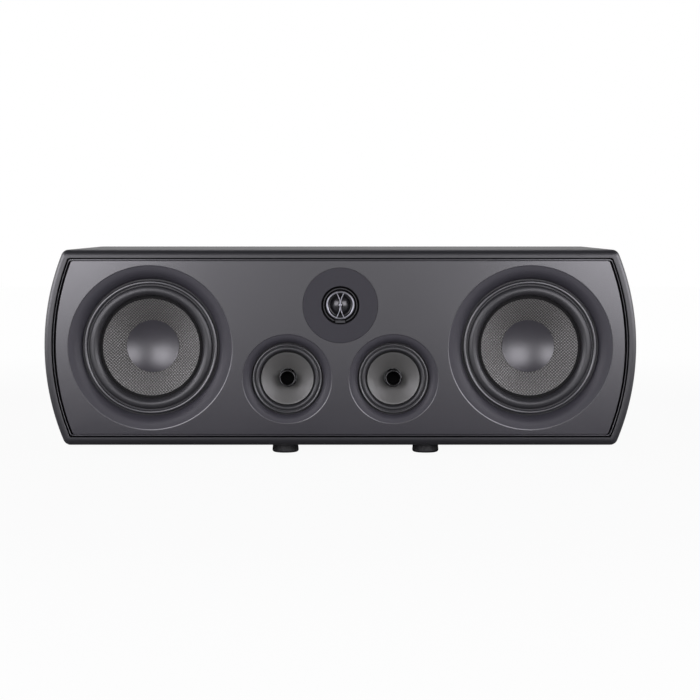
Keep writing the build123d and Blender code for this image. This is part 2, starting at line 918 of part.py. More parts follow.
def tweeter_bridge():
    """The bright ring with a bar across the dome, split into legs at both ends, and its boss."""
    shoulder = bridge_front + bridge_ring_round
    middle = (bridge_inner + bridge_outer) / 2
    bridge = turned(
        0,
        tweeter_z,
        (bridge_inner, chassis_floor),
        (bridge_inner, shoulder),
        Bend((middle, bridge_front), (bridge_outer, shoulder)),
        (bridge_outer, chassis_floor),
    )
    leg_end = sqrt(middle**2 - bridge_splay**2)
    bars = Circle(bridge_boss)
    for side in (-1, 1):
        foot = (side * bridge_waist, -bridge_bar_end)
        head = (side * bridge_waist, bridge_bar_end)
        bars += trace(Line(foot, head), bridge_bar)
        upper = TangentArc(head, (side * bridge_splay, leg_end), tangent=(0, 1))
        lower = TangentArc(foot, (side * bridge_splay, -leg_end), tangent=(0, -1))
        bars += trace(upper, bridge_bar)
        bars += trace(lower, bridge_bar)
    bars &= Circle(middle)
    bridge += slab(Pos(0, tweeter_z) * bars, bridge_front, bridge_front + bridge_bar_depth)
    bridge += disc(0, tweeter_z, bridge_boss, bridge_front, boss_back)
    return bridge


def tweeter_diaphragm():
    """The dome, its roll and clamped edge, and the coil that hangs behind it."""
    ball = (dome_radius**2 + dome_rise**2) / (2 * dome_rise)
    half = dome_radius / 2
    half_depth = dome_apex + ball - sqrt(ball**2 - half**2)
    inner_base = dome_apex + dome_thickness + ball - sqrt(ball**2 - dome_former**2)
    roll_middle = (dome_radius + dome_roll_radius) / 2
    roll_front = dome_base - dome_roll_height
    coil_middle = (dome_land_back + tweeter_plate_back) / 2
    coil_end = coil_middle + dome_coil_height / 2
    coil_start = dome_base + dome_thickness
    return turned(
        0,
        tweeter_z,
        (0, dome_apex),
        Bend((half, half_depth), (dome_radius, dome_base)),
        Bend((roll_middle, roll_front), (dome_roll_radius, dome_base)),
        (dome_land_radius, dome_base),
        (dome_land_radius, dome_land_back),
        (dome_roll_radius, dome_land_back),
        (dome_roll_radius, coil_start),
        Bend((roll_middle, roll_front + dome_thickness), (dome_winding_outer, coil_start)),
        (dome_winding_outer, coil_end),
        (dome_former, coil_end),
        (dome_former, inner_base),
        Bend((half, half_depth + dome_thickness), (0, dome_apex + dome_thickness)),
    )


def tweeter_yoke():
    """The tweeter's back plate with its pole."""
    pole = dome_former - tweeter_gap
    return turned(
        0,
        tweeter_z,
        (0, dome_land_back),
        (pole, dome_land_back),
        (pole, tweeter_yoke_front),
        (tweeter_magnet_radius, tweeter_yoke_front),
        (tweeter_magnet_radius, tweeter_yoke_back),
        (0, tweeter_yoke_back),
    )


def driver_screws():
    """The screws of all five drivers."""
    screws = [screw(x, z, chassis_front, screw_length) for x, z in tweeter_places]
    for driver in cone_drivers.values():
        for x, z in around(driver.x, driver.z, driver.screw_circle, driver.screw_count):
            screws.append(screw(x, z, driver.flange_front, screw_length))
    return screws


def terminal_screws():
    """The screws of the terminal cup."""
    return [screw(x, z, cabinet_depth, cup_screw_length, way=-1) for x, z in cup_screw_places()]


def post_stud(x):
    """A binding post: threaded shaft with a collar, a plug socket and a wire hole."""
    tail = cup_floor - cup_wall - post_tail
    stud = turned(
        x,
        0,
        (0, tail),
        (post_radius, tail),
        (post_radius, cup_floor),
        (post_collar_radius, cup_floor),
        (post_collar_radius, collar_end),
        (post_radius, collar_end),
        (post_radius, post_tip),
        (socket_radius, post_tip),
        (socket_radius, post_tip - socket_length),
        (0, post_tip - socket_length),
    )
    hole = Pos(x, front_y + collar_end + wire_hole_rise, middle_z)
    return stud - hole * Cylinder(wire_hole_radius, 2 * post_collar_radius)


def post_nut(x):
    """The nut that holds a binding post in the cup's floor."""
    section = RegularPolygon(nut_radius, 6) - Circle(post_radius + post_fit)
    nut_back = cup_floor - cup_wall
    return slab(Pos(x, 0) * section, nut_back - nut_height, nut_back)


def post_washer(x):
    """The captive clamp washer under a knob."""
    start = collar_end + washer_gap
    return ring(x, 0, post_radius + post_fit, post_collar_radius, start, start + washer_thickness)


def post_knob(x):
    """A fluted knob that screws down the post, open at its end for a plug."""
    bore = post_radius + post_fit
    knob = turned(
        x,
        0,
        (bore, knob_start),
        (knob_radius, knob_start),
        (knob_radius, knob_end - knob_round),
        (knob_radius - knob_round, knob_end),
        (knob_end_hole, knob_end),
        (knob_end_hole, knob_end - knob_end_wall),
        (bore, knob_end - knob_end_wall),
    )
    for flute_x, flute_z in around(x, 0, knob_radius + knob_flute_radius / 2, knob_flutes):
        knob -= disc(flute_x, flute_z, knob_flute_radius, knob_start + knob_round, knob_end + overshoot)
    return knob


def rubber_feet():
    """Four feet under the cabinet, the front pair as far off the middle as it really is."""
    bend = foot_round * (1 - cos(radians(45)))
    feet = []
    for y in (front_y + foot_setback, front_y + cabinet_depth - foot_setback):
        for x in foot_places:
            foot = upright(
                x,
                y,
                0,
                (0, 0),
                (foot_radius - foot_round, 0),
                Bend((foot_radius - bend, bend), (foot_radius, foot_round)),
                (foot_radius - foot_taper, foot_height),
                (0, foot_height),
            )
            feet.append(foot)
    return feet


def crossover_board():
    """The circuit board on its four standoffs, on the cabinet's floor."""
    y = front_y + crossover_depth
    lift = floor_z + standoff_height
    corner_x = crossover_width / 2 - standoff_inset
    corner_y = crossover_length / 2 - standoff_inset
    board_z = lift + crossover_thickness / 2
    pieces = [Pos(0, y, board_z) * Box(crossover_width, crossover_length, crossover_thickness)]
    for x in (-corner_x, corner_x):
        for offset in (-corner_y, corner_y):
            post = Pos(x, y + offset, floor_z + standoff_height / 2)
            pieces.append(post * Cylinder(standoff_radius, standoff_height))
    return pieces


def crossover_inductors():
    """Three bobbins wound with wire, upright on the board."""
    y = front_y + crossover_depth - component_row
    core = inductor_radius - inductor_groove
    coil_top = inductor_height - inductor_flange
    coils = []
    for index in (-1, 0, 1):
        coil = upright(
            index * inductor_spacing,
            y,
            crossover_top,
            (inductor_bore, 0),
            (inductor_radius, 0),
            (inductor_radius, inductor_flange),
            (core, inductor_flange),
            (core, coil_top),
            (inductor_radius, coil_top),
            (inductor_radius, inductor_height),
            (inductor_bore, inductor_height),
        )
        coils.append(coil)
    return coils


def crossover_capacitors():
    """Three film capacitors that lie in a row."""
    y = front_y + crossover_depth
    z = crossover_top + component_gap + capacitor_radius
    body = Rot(0, 90, 0) * Cylinder(capacitor_radius, capacitor_length)
    return [Pos(index * capacitor_spacing, y, z) * body for index in (-1, 0, 1)]


def crossover_resistors():
    """Three power resistors that lie in a row."""
    y = front_y + crossover_depth + component_row
    z = crossover_top + component_gap + resistor_side / 2
    body = Box(resistor_length, resistor_side, resistor_side)
    return [Pos(index * resistor_spacing, y, z) * body for index in (-1, 0, 1)]


def damping_foam():
    """A sheet of foam under the top of each chamber."""
    foam_back = back_front - foam_back_gap
    wall_gap = partition_thickness / 2 + foam_wall_gap
    inner_x = partition_x + wall_gap
    outer_x = cabinet_width / 2 - foam_end_gap
    z = ceiling_z - foam_thickness / 2
    y = front_y + (foam_front + foam_back) / 2
    length = foam_back - foam_front
    side_width = outer_x - inner_x
    side_x = (outer_x + inner_x) / 2
    sheets = [Pos(0, y, z) * Box(2 * (partition_x - wall_gap), length, foam_thickness)]
    for x in (-side_x, side_x):
        sheets.append(Pos(x, y, z) * Box(side_width, length, foam_thickness))
    return sheets


parts = {
    "cabinet_shell": cabinet_shell(),
    "front_fascia": front_fascia(),
    "baffle_board": baffle_board(),
    "back_panel": back_panel(),
    "chamber_partitions": chamber_partitions(),
    "left_port_tube": port_tube(-port_x),
    "right_port_tube": port_tube(port_x),
    "terminal_cup": terminal_cup(),
    "terminal_screws": terminal_screws(),
    "rubber_feet": rubber_feet(),
    "driver_screws": driver_screws(),
    "woofer_magnets": [magnet(driver) for driver in woofers.values()],
    "woofer_yokes": [yoke(driver) for driver in woofers.values()],
    "mid_magnets": [magnet(driver) for driver in mids.values()],
    "mid_yokes": [yoke(driver) for driver in mids.values()],
    "tweeter_faceplate": tweeter_faceplate(),
    "tweeter_chassis": tweeter_chassis(),
    "tweeter_bridge": tweeter_bridge(),
    "tweeter_diaphragm": tweeter_diaphragm(),
    "tweeter_magnet": ring(
        0, tweeter_z, tweeter_magnet_bore, tweeter_magnet_radius, tweeter_plate_back, tweeter_yoke_front
    ),
    "tweeter_yoke": tweeter_yoke(),
    "crossover_board": crossover_board(),
    "crossover_inductors": crossover_inductors(),
    "crossover_capacitors": crossover_capacitors(),
    "crossover_resistors": crossover_resistors(),
    "damping_foam": damping_foam(),
}
for side, driver in cone_drivers.items():
    parts[f"{side}_basket"] = basket(driver)
    parts[f"{side}_trim_ring"] = trim_ring(driver)
    parts[f"{side}_surround"] = surround(driver)
    parts[f"{side}_spider"] = spider(driver)
    parts[f"{side}_cone"] = cone(driver)
    parts[f"{side}_voice_coil"] = voice_coil(driver)
for side, driver in woofers.items():
    parts[f"{side}_dust_cap"] = dust_cap(driver)
for side, driver in mids.items():
    parts[f"{side}_phase_plug"] = phase_plug(driver)
post_places = {"red": -post_spacing / 2, "black": post_spacing / 2}
for colour, x in post_places.items():
    parts[f"{colour}_post_washer"] = post_washer(x)
    parts[f"{colour}_post_knob"] = post_knob(x)
parts["post_studs"] = [piece(x) for x in post_places.values() for piece in (post_stud, post_nut)]

os.makedirs("parts", exist_ok=True)
for name, shape in parts.items():
    if isinstance(shape, list):
        shape = Compound(children=shape)
    export_step(shape, f"parts/{name}.step")
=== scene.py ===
import bmesh
import bpy
import math
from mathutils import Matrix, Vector
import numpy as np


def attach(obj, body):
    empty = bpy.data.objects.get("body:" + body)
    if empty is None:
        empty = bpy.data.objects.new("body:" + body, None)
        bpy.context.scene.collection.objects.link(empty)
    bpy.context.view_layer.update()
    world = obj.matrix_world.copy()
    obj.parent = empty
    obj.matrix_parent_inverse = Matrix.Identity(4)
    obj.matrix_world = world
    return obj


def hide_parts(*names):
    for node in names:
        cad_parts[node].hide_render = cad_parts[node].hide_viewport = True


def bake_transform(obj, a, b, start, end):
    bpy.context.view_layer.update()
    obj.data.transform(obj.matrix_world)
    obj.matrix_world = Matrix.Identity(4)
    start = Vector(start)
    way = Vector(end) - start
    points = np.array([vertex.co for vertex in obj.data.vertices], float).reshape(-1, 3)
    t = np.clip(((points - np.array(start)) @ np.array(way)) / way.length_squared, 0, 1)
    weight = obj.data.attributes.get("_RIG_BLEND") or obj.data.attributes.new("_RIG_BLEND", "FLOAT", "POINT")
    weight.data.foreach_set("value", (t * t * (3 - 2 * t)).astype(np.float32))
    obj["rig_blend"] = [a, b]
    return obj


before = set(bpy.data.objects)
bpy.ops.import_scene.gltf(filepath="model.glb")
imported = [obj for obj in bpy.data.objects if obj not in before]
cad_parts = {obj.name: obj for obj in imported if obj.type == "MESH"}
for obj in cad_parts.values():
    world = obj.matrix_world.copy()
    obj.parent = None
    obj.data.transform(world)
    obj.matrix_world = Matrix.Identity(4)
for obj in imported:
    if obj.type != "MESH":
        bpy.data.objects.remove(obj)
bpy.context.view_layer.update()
mm = 0.001
hair = 0.1  # slack in millimetres where faces are found by their place
ease = 0.3  # share of a soft edge's width that is gone at its middle
fine = 160  # steps round the large turned pieces
print("frame: CAD nodes loaded", len(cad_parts))

cabinet = {
    "width": 750.0,
    "height": 248.0,
    "depth": 320.0,
    "middle": 137.0,  # height of the front's middle above the floor
    "bowRadius": 315.0,
    "corner": 10.0,
    "innerCorner": 4.0,
    "frontRound": 9.0,
    "rearRound": 3.0,
    "wall": 18.0,
    "band": 10.7,  # frame round the fascia
    "bandEdge": 0.4,
    "bandPull": -0.7,  # the frame is narrower at the ends
    "boardBack": 37.5,
    "backFront": 300.0,
}


def spot(x, depth, z):  # millimetres from the axis, behind the frame's front and above the front's middle
    return Vector((x, depth - cabinet["depth"] / 2, z + cabinet["middle"])) * mm


def depthOf(face):  # millimetres behind the frame's front
    return face.calc_center_median().y / mm + cabinet["depth"] / 2


def fromAxis(face, x, z):  # millimetres from an axis that runs from front to back
    way = face.calc_center_median() - spot(x, 0, z)
    return math.hypot(way.x, way.z) / mm


def hexColour(code):
    shares = [int(code[start : start + 2], 16) / 255 for start in (1, 3, 5)]
    return (*[s / 12.92 if s <= 0.04045 else ((s + 0.055) / 1.055) ** 2.4 for s in shares], 1.0)


def feed(node, inputs):  # sets a node's inputs, or links them to other nodes
    for key, value in inputs.items():
        if isinstance(value, bpy.types.NodeSocket):
            node.id_data.links.new(value, node.inputs[key])
        else:
            node.inputs[key].default_value = value


def addNode(tree, kind, settings=None, inputs=None):
    made = tree.nodes.new("ShaderNode" + kind)
    for key, value in (settings or {}).items():
        setattr(made, key, value)
    feed(made, inputs or {})
    return made


def addMath(tree, operation, *values):
    return addNode(tree, "Math", {"operation": operation}, dict(enumerate(values))).outputs[0]


def addMix(tree, share, low, high):
    return addNode(tree, "Mix", {"data_type": "FLOAT"}, {0: share, 2: low, 3: high}).outputs[0]


def addRange(tree, value, ends=(0.0, 1.0), results=(0.0, 1.0)):
    return addNode(tree, "MapRange", inputs=dict(enumerate((value, *ends, *results)))).outputs[0]


def addRamp(tree, value, *stops):  # two stops, each a position and a colour
    ramp = addNode(tree, "ValToRGB", inputs={0: value})
    for element, (position, code) in zip(ramp.color_ramp.elements, stops):
        element.position, element.color = position, hexColour(code)
    return ramp.outputs[0]


def addBump(tree, height, depth, strength):  # depth in millimetres
    inputs = {"Strength": strength, "Distance": depth * mm, "Height": height}
    return addNode(tree, "Bump", inputs=inputs).outputs[0]


def newFinish(name, sockets):
    finish = bpy.data.materials.new(name)
    finish.use_nodes = True
    shader = finish.node_tree.nodes["Principled BSDF"]
    feed(shader, sockets)
    where = addNode(finish.node_tree, "TexCoord").outputs["Object"]
    return finish, finish.node_tree, shader, where


def grainFinish(name, dark, light, grain, broad, rough, bump, **sockets):  # fine grain, broad unevenness
    finish, tree, shader, where = newFinish(name, sockets)
    small = {"Vector": where, "Scale": 1 / (grain * mm), "Detail": 4.0, "Roughness": 0.6}
    wide = {"Vector": where, "Scale": 1 / (broad * mm), "Detail": 2.0}
    height = addNode(tree, "TexNoise", inputs=small).outputs[0]
    both = addMix(tree, 0.5, height, addNode(tree, "TexNoise", inputs=wide).outputs[0])
    span = (0.3, 0.7)  # where nearly all of the noise lies
    tone = addRamp(tree, both, (span[0], dark), (span[1], light))
    sheen = addRange(tree, both, span, rough)
    feed(shader, {"Base Color": tone, "Roughness": sheen, "Normal": addBump(tree, height, bump, 0.5)})
    return finish


def addObject(name, data):
    made = bpy.data.objects.new(name, data)
    bpy.context.scene.collection.objects.link(made)
    return made


def aimAt(thing, target):  # turns a lamp or the camera
    thing.rotation_euler = (Vector(target) - thing.location).to_track_quat("-Z", "Y").to_euler()


def choose(piece, *others):  # selects pieces and makes the first one active
    bpy.ops.object.select_all(action="DESELECT")
    for one in (piece, *others):
        one.select_set(True)
    bpy.context.view_layer.objects.active = piece


def pick(piece, chosen, kind):  # in edit mode, selects the edges or faces that the test chooses
    bpy.ops.mesh.select_mode(type={"edges": "EDGE", "faces": "FACE"}[kind])
    bpy.ops.mesh.select_all(action="DESELECT")
    sheet = bmesh.from_edit_mesh(piece.data)
    found = 0
    for part in getattr(sheet, kind):
        if chosen(part):
            part.select = True
            found += 1
    sheet.select_flush_mode()
    bmesh.update_edit_mesh(piece.data)
    return found


def arc(x, y, radius, start, end, steps):  # its points, both ends among them
    angles = [start + (end - start) * step / steps for step in range(steps + 1)]
    return [(x + radius * math.cos(angle), y + radius * math.sin(angle)) for angle in angles]


def bend(start, via, end, steps):  # points of an arc through three points, without its start
    (ax, ay), (bx, by), (cx, cy) = start, via, end
    cross = 2 * (ax * (by - cy) + bx * (cy - ay) + cx * (ay - by))
    sa, sb, sc = ax * ax + ay * ay, bx * bx + by * by, cx * cx + cy * cy
    mx = (sa * (by - cy) + sb * (cy - ay) + sc * (ay - by)) / cross
    my = (sa * (cx - bx) + sb * (ax - cx) + sc * (bx - ax)) / cross
    radius = math.hypot(ax - mx, ay - my)
    first = math.atan2(ay - my, ax - mx)
    turn = (math.atan2(cy - my, cx - mx) - first) % math.tau
    middle = (math.atan2(by - my, bx - mx) - first) % math.tau
    if middle > turn:
        turn -= math.tau
    return arc(mx, my, radius, first, first + turn, steps)[1:]


def openNew(name):  # names the primitive just added and opens it with all its points selected
    piece = bpy.context.object
    piece.name = name
    bpy.ops.object.mode_set(mode="EDIT")
    bpy.ops.mesh.select_mode(type="VERT")
    bpy.ops.mesh.select_all(action="SELECT")
    return piece


def mergeDoubles():
    bpy.ops.mesh.select_all(action="SELECT")
    bpy.ops.mesh.remove_doubles(threshold=0.005 * mm)


def tidyMesh():  # merges doubles, turns the faces outwards and leaves edit mode
    bpy.ops.mesh.select_mode(type="VERT")
    mergeDoubles()
    bpy.ops.mesh.normals_make_consistent(inside=False)
    bpy.ops.object.mode_set(mode="OBJECT")


def turnPiece(name, x, z, profile, steps, turn=360.0):  # (radius, depth) steps drawn by one point, then spun
    bpy.ops.mesh.primitive_plane_add(size=mm)
    piece = openNew(name)
    bpy.ops.mesh.merge(type="CENTER")
    here = spot(x + profile[0][0], profile[0][1], z)
    bpy.ops.transform.translate(value=here)
    for radius, depth in profile[1:]:
        there = spot(x + radius, depth, z)
        bpy.ops.mesh.extrude_region_move(TRANSFORM_OT_translate={"value": there - here})
        here = there
    bpy.ops.mesh.select_all(action="SELECT")
    bpy.ops.mesh.spin(steps=steps, angle=math.radians(turn), center=spot(x, 0, z), axis=(0, 1, 0))
    tidyMesh()
    return piece


def loftPiece(name, loops, ring=False):  # a circle drawn to the first outline, extruded to each next
    bpy.ops.mesh.primitive_circle_add(vertices=len(loops[0]), radius=mm)
    piece = openNew(name)
    sheet = bmesh.from_edit_mesh(piece.data)
    for vert, place in zip(sheet.verts, loops[0]):
        vert.co = place
    bmesh.update_edit_mesh(piece.data)
    route = loops + loops[:1] if ring else loops
    for last, loop in zip(route, route[1:]):
        bpy.ops.mesh.extrude_region_move()
        onward = {tuple(place): there for place, there in zip(last, loop)}
        sheet = bmesh.from_edit_mesh(piece.data)
        for vert in sheet.verts:
            if vert.select:
                vert.co = onward[tuple(vert.co)]
        bmesh.update_edit_mesh(piece.data)
    tidyMesh()
    return piece


def closeFlat(piece, depth):  # in edit mode, fills between the open edges that lie at one depth
    level, slack = spot(0, depth, 0).y, 0.001 * mm

    def openAtLevel(edge):
        return len(edge.link_faces) < 2 and all(abs(vert.co.y - level) < slack for vert in edge.verts)

    pick(piece, openAtLevel, "edges")
    bpy.ops.mesh.fill(use_beauty=True)


def joinPieces(piece, others, *flats):  # joins pieces into the first and closes it flat at some depths
    choose(piece, *others)
    bpy.ops.object.join()
    bpy.ops.object.mode_set(mode="EDIT")
    mergeDoubles()
    for depth in flats:
        closeFlat(piece, depth)
    tidyMesh()


def movePiece(piece, move):  # by millimetres
    choose(piece)
    bpy.ops.transform.translate(value=Vector(move) * mm)
    bpy.ops.object.transform_apply(location=True, rotation=False, scale=False)


def copyPiece(piece, name, move):  # a twin with its own mesh
    choose(piece)
    bpy.ops.object.duplicate()
    twin = bpy.context.object
    twin.name = name
    movePiece(twin, move)
    return twin


def applyModifier(piece, kind, settings):
    choose(piece)
    bpy.ops.object.modifier_add(type=kind)
    modifier = piece.modifiers[-1]
    for key, value in settings.items():
        setattr(modifier, key, value)
    bpy.ops.object.modifier_apply(modifier=modifier.name)


def smooth(piece, soften=0.0, segments=2, angle=30.0):  # rounds sharp edges, shades the rest smooth
    limit = math.radians(angle)
    if soften:
        bevel = {"width": soften * mm, "segments": segments, "limit_method": "ANGLE", "angle_limit": limit}
        applyModifier(piece, "BEVEL", bevel)
    choose(piece)
    bpy.ops.object.shade_smooth_by_angle(angle=limit)
    applyModifier(piece, "WEIGHTED_NORMAL", {"keep_sharp": True, "weight": 80})


def settle(piece, body, slot, finish, *nodes):  # gives a finished piece its finish and body and hides its CAD nodes; the slot is not used
    piece.data.materials.clear()
    piece.data.materials.append(finish)
    if body:  # a piece that bends between two bodies rides on neither
        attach(piece, body)
    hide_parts(*nodes)


def paintFaces(piece, finish, chosen):  # gives the chosen faces of a settled piece a second finish
    choose(piece)
    piece.data.materials.append(finish)
    piece.active_material_index = len(piece.data.materials) - 1
    bpy.ops.object.mode_set(mode="EDIT")
    found = pick(piece, chosen, "faces")
    bpy.ops.object.material_slot_assign()
    bpy.ops.object.mode_set(mode="OBJECT")
    print(piece.name, "faces with a second finish:", found)


# finishes, by what each is really made of
lacquer = grainFinish(  # sprayed satin lacquer on fibreboard: smooth, faint orange peel, soft sheen
    "satinLacquer", "#1a1a1c", "#1d1d20", grain=1.4, broad=160.0, rough=(0.42, 0.45), bump=0.002, IOR=1.55
)
fasciaPaint = grainFinish(  # satin paint with a fine grit, so lights spread wide on it
    "satinPaint", "#242328", "#28272c", grain=0.9, broad=90.0, rough=(0.23, 0.26), bump=0.006, IOR=1.7
)
dishPaint = grainFinish(  # the same paint, drier in the dishes: a wider sheen that fades where they turn in
    "dryPaint", "#2b2a2f", "#302f34", grain=0.9, broad=60.0, rough=(0.5, 0.56), bump=0.01, IOR=1.4
)
faceplateFinish = grainFinish(  # spark-eroded ABS: matt and even
    "mattAbs", "#242328", "#29282d", grain=0.5, broad=30.0, rough=(0.6, 0.68), bump=0.012, IOR=1.4
)
rubberFinish = grainFinish(  # moulded nitrile rubber: satin, a soft broad highlight
    "nitrileRubber", "#202022", "#272729", grain=0.7, broad=14.0, rough=(0.38, 0.44), bump=0.008, IOR=1.52
)
ringFinish = grainFinish(  # trim ring of a harder rubber, a little glossier
    "trimRubber", "#1d1d20", "#242427", grain=0.6, broad=20.0, rough=(0.28, 0.34), bump=0.006, IOR=1.8
)
capFinish = grainFinish(  # pressed and painted cap: smooth satin
    "paintedCap", "#2d2c30", "#323035", grain=0.5, broad=25.0, rough=(0.34, 0.38), bump=0.001, IOR=1.72
)
mouldedFinish = grainFinish(  # moulded ABS of ports and terminal cup, with an eroded texture
    "mouldedAbs", "#212123", "#2c2c2e", grain=0.8, broad=25.0, rough=(0.5, 0.62), bump=0.03, IOR=1.5
)
backFinish = grainFinish(  # textured black paint on the back panel
    "texturedPaint", "#222224", "#2f2f32", grain=1.4, broad=70.0, rough=(0.55, 0.7), bump=0.06, IOR=1.5
)
footFinish = grainFinish(  # moulded rubber feet, matt
    "footRubber", "#1d1d1e", "#29292a", grain=0.8, broad=10.0, rough=(0.55, 0.7), bump=0.02, IOR=1.52
)
chassisFinish = grainFinish(  # black felt glued round the dome and its channel: deep black, no sheen
    "blackFelt", "#050505", "#0b0b0b", grain=0.5, broad=8.0, rough=(0.9, 1.0), bump=0.02, IOR=1.2
)
bridgeFinish = grainFinish(  # cast metal under dark satin nickel: grey highlights, dark elsewhere
    "darkNickel", "#707075", "#828287", grain=0.4, broad=5.0, rough=(0.3, 0.38), bump=0.003, Metallic=1.0
)
domeFinish = grainFinish(  # thin coated metal dome, glossy black
    "coatedDome", "#1d1d1e", "#242426", grain=0.6, broad=6.0, rough=(0.2, 0.26), bump=0.002, IOR=1.55
)
plugFinish = grainFinish(  # moulded and lightly polished black plastic: a bright line only on the round rim
    "polishedBlack", "#080808", "#0e0e0e", grain=0.4, broad=6.0, rough=(0.24, 0.3), bump=0.002, IOR=1.5
)
footShade = grainFinish(  # painted shade: a dull, near-black finish on the roll's foot, where a cone meets its roll
    "paintedFootShade", "#111111", "#181818", grain=0.5, broad=6.0, rough=(0.75, 0.9), bump=0.02, IOR=1.25
)
shadePaint = grainFinish(  # painted shade: a near-black, matt finish put in gaps, on the opening's wall and in plug hollows where shade falls
    "paintedShade", "#030303", "#060606", grain=0.4, broad=5.0, rough=(0.9, 1.0), bump=0.01, IOR=1.2
)
print("finishes: plain ones made")

# threads of cones drawn about twice as coarse as the real ones, to show; the gap colours are painted shade
# between threads
weave = {"thread": 2.7, "bump": 0.8, "gap": "#0c0c0c", "crown": "#6b6a66", "IOR": 1.7}
midWeave = {"thread": 0.7, "bump": 0.04, "gap": "#454542", "crown": "#575754", "IOR": 1.65}


def weaveFinish(name, look):  # woven fibre pressed to a cone: threads over and under, each with its own glint
    finish, tree, shader, where = newFinish(name, {"IOR": look["IOR"]})
    scale, slant = [1 / (look["thread"] * mm)] * 3, (0, math.radians(45), 0)
    turned = addNode(tree, "Mapping", inputs={"Vector": where, "Rotation": slant, "Scale": scale})
    x, _, z = addNode(tree, "SeparateXYZ", inputs={0: turned.outputs[0]}).outputs
    flat = addNode(tree, "CombineXYZ", inputs={0: x, 1: 0.5, 2: z})
    over = addNode(tree, "TexChecker", inputs={"Vector": flat.outputs[0], "Scale": 1.0}).outputs["Fac"]
    waves = [addMath(tree, "SINE", addMath(tree, "MULTIPLY", way, math.pi)) for way in (x, z)]
    humps = [addMath(tree, "ABSOLUTE", wave) for wave in waves]
    dip, low, high = 0.45, 0.2, 0.85  # of a thread's sides, and where gap and crown have their full colour
    side = addMath(tree, "MULTIPLY_ADD", addMix(tree, over, *humps[::-1]), dip, 1 - dip)
    height = addMath(tree, "MULTIPLY", addMix(tree, over, *humps), side)
    # the gap colour is painted shade between the threads; the crown colour is the fibre's own
    tone = addRamp(tree, height, (low, look["gap"]), (high, look["crown"]))
    sheen = addRange(tree, height, results=(0.6, 0.34))
    feed(shader, {"Base Color": tone, "Roughness": sheen, "Normal": addBump(tree, height, look["bump"], 0.8)})
    return finish


wovenCone = weaveFinish("wovenFibre", weave)
midCone = weaveFinish("coatedWeave", midWeave)
print("finishes: woven cones made")


def bowOutline(inset):  # closed front outline of the cabinet, drawn in by an inset
    halfWidth = cabinet["width"] / 2 - inset
    halfHeight = cabinet["height"] / 2 - inset
    bow = cabinet["bowRadius"] - inset
    corner = max(cabinet["corner"] - inset, cabinet["innerCorner"])
    hub = halfWidth - bow
    cornerX = hub + math.sqrt((bow - corner) ** 2 - (halfHeight - corner) ** 2)
    cornerZ = halfHeight - corner
    meet = math.atan2(cornerZ, cornerX - hub)
    side = arc(cornerX, cornerZ, corner, math.pi / 2, meet, 6)
    side += arc(hub, 0, bow, meet, -meet, 40)[1:-1]
    side += arc(cornerX, -cornerZ, corner, -meet, -math.pi / 2, 6)
    return side + [(-x, -z) for x, z in side]


def bowLoop(inset, depth, pull=0.0):  # a pull draws each end in further
    return [spot(x - math.copysign(1, x) * pull, depth, z) for x, z in bowOutline(inset)]


def quarter(radius, steps):  # (inset, drop) shares of a round-over, from the side to the front
    angles = [math.pi / 2 * step / steps for step in range(steps + 1)]
    return [(radius * (1 - math.cos(a)), radius * (1 - math.sin(a))) for a in angles]


def makeShell():
    loops = [bowLoop(inset, drop) for inset, drop in quarter(cabinet["frontRound"], 12)]
    band, edge, wall = cabinet["band"], cabinet["bandEdge"], cabinet["wall"]
    boardBack, backFront, deep = cabinet["boardBack"], cabinet["backFront"], cabinet["depth"]
    for inset, depth in ((band - edge, 0.0), (band, edge), (band, boardBack)):
        loops.append(bowLoop(inset, depth, cabinet["bandPull"]))
    for inset, depth in ((wall, boardBack), (wall, backFront), (band, backFront), (band, deep)):
        loops.append(bowLoop(inset, depth))
    rear = [bowLoop(inset, deep - drop) for inset, drop in quarter(cabinet["rearRound"], 5)]
    shell = loftPiece("cabinetShell", loops + rear[::-1], ring=True)
    smooth(shell)
    settle(shell, "cabinet", "cabinet_lacquer", lacquer, "cabinet_shell")

    def inOpening(face):  # wall of the opening, behind the frame; it is painted near-black as shade
        middle, way = face.calc_center_median() - spot(0, 0, 0), face.normal
        return middle.x * way.x + middle.z * way.z < 0 and edge < depthOf(face) < boardBack

    # painted shade on the opening's wall, so the gap round the fascia reads dark
    paintFaces(shell, shadePaint, inOpening)


makeShell()
print("cabinet: shell made")

fascia = {
    "sink": 1.5,  # behind the frame
    "back": 15.5,
    "edge": 12.0,  # inset of the fascia's edge
    "rim": 1.7,
    "rimRound": 0.5,
    "rimSink": 0.4,  # rim lower than the field
    "fieldRound": 0.6,
    "groove": 0.3,
    "grooveDepth": 3.6,
    "rimPull": (-0.4, -1.1),  # the gaps are wider at the ends
    "fieldPull": 1.2,
    "lipAngle": 6.0,
    "lipEase": (0.2, 0.07),
    "lipChamfer": (0.9, 0.28),
    "dishTurn": 3.6,  # nearly flat by the lip, steep by the ring
}
woofer = {
    "x": 240.4875,
    "z": 0.0,
    "dish": 104.4,
    "hole": 86.9,
    "dishBottom": 12.6,
    "pocket": 13.5,
    "pocketRadius": 93.2,
    "flange": 13.7,
    "ring": (80.3, 84.9),
    "ringCrest": 8.7,
    "ringRound": 2.9,
    "ringSeat": 81.6,
    "land": 81.4,
    "roll": (66.0, 78.6),
    "rollCrest": 8.1,
    "crestRadius": 72.4,
    "rubber": 1.0,
    "lip": 17.7,
    "lipEdge": 65.8,
    "cone": 61.4,
    "slope": math.tan(math.radians(35.0)),
    "skin": 1.1,
    "neck": 19.55,
    "coilFront": 66.0,
}
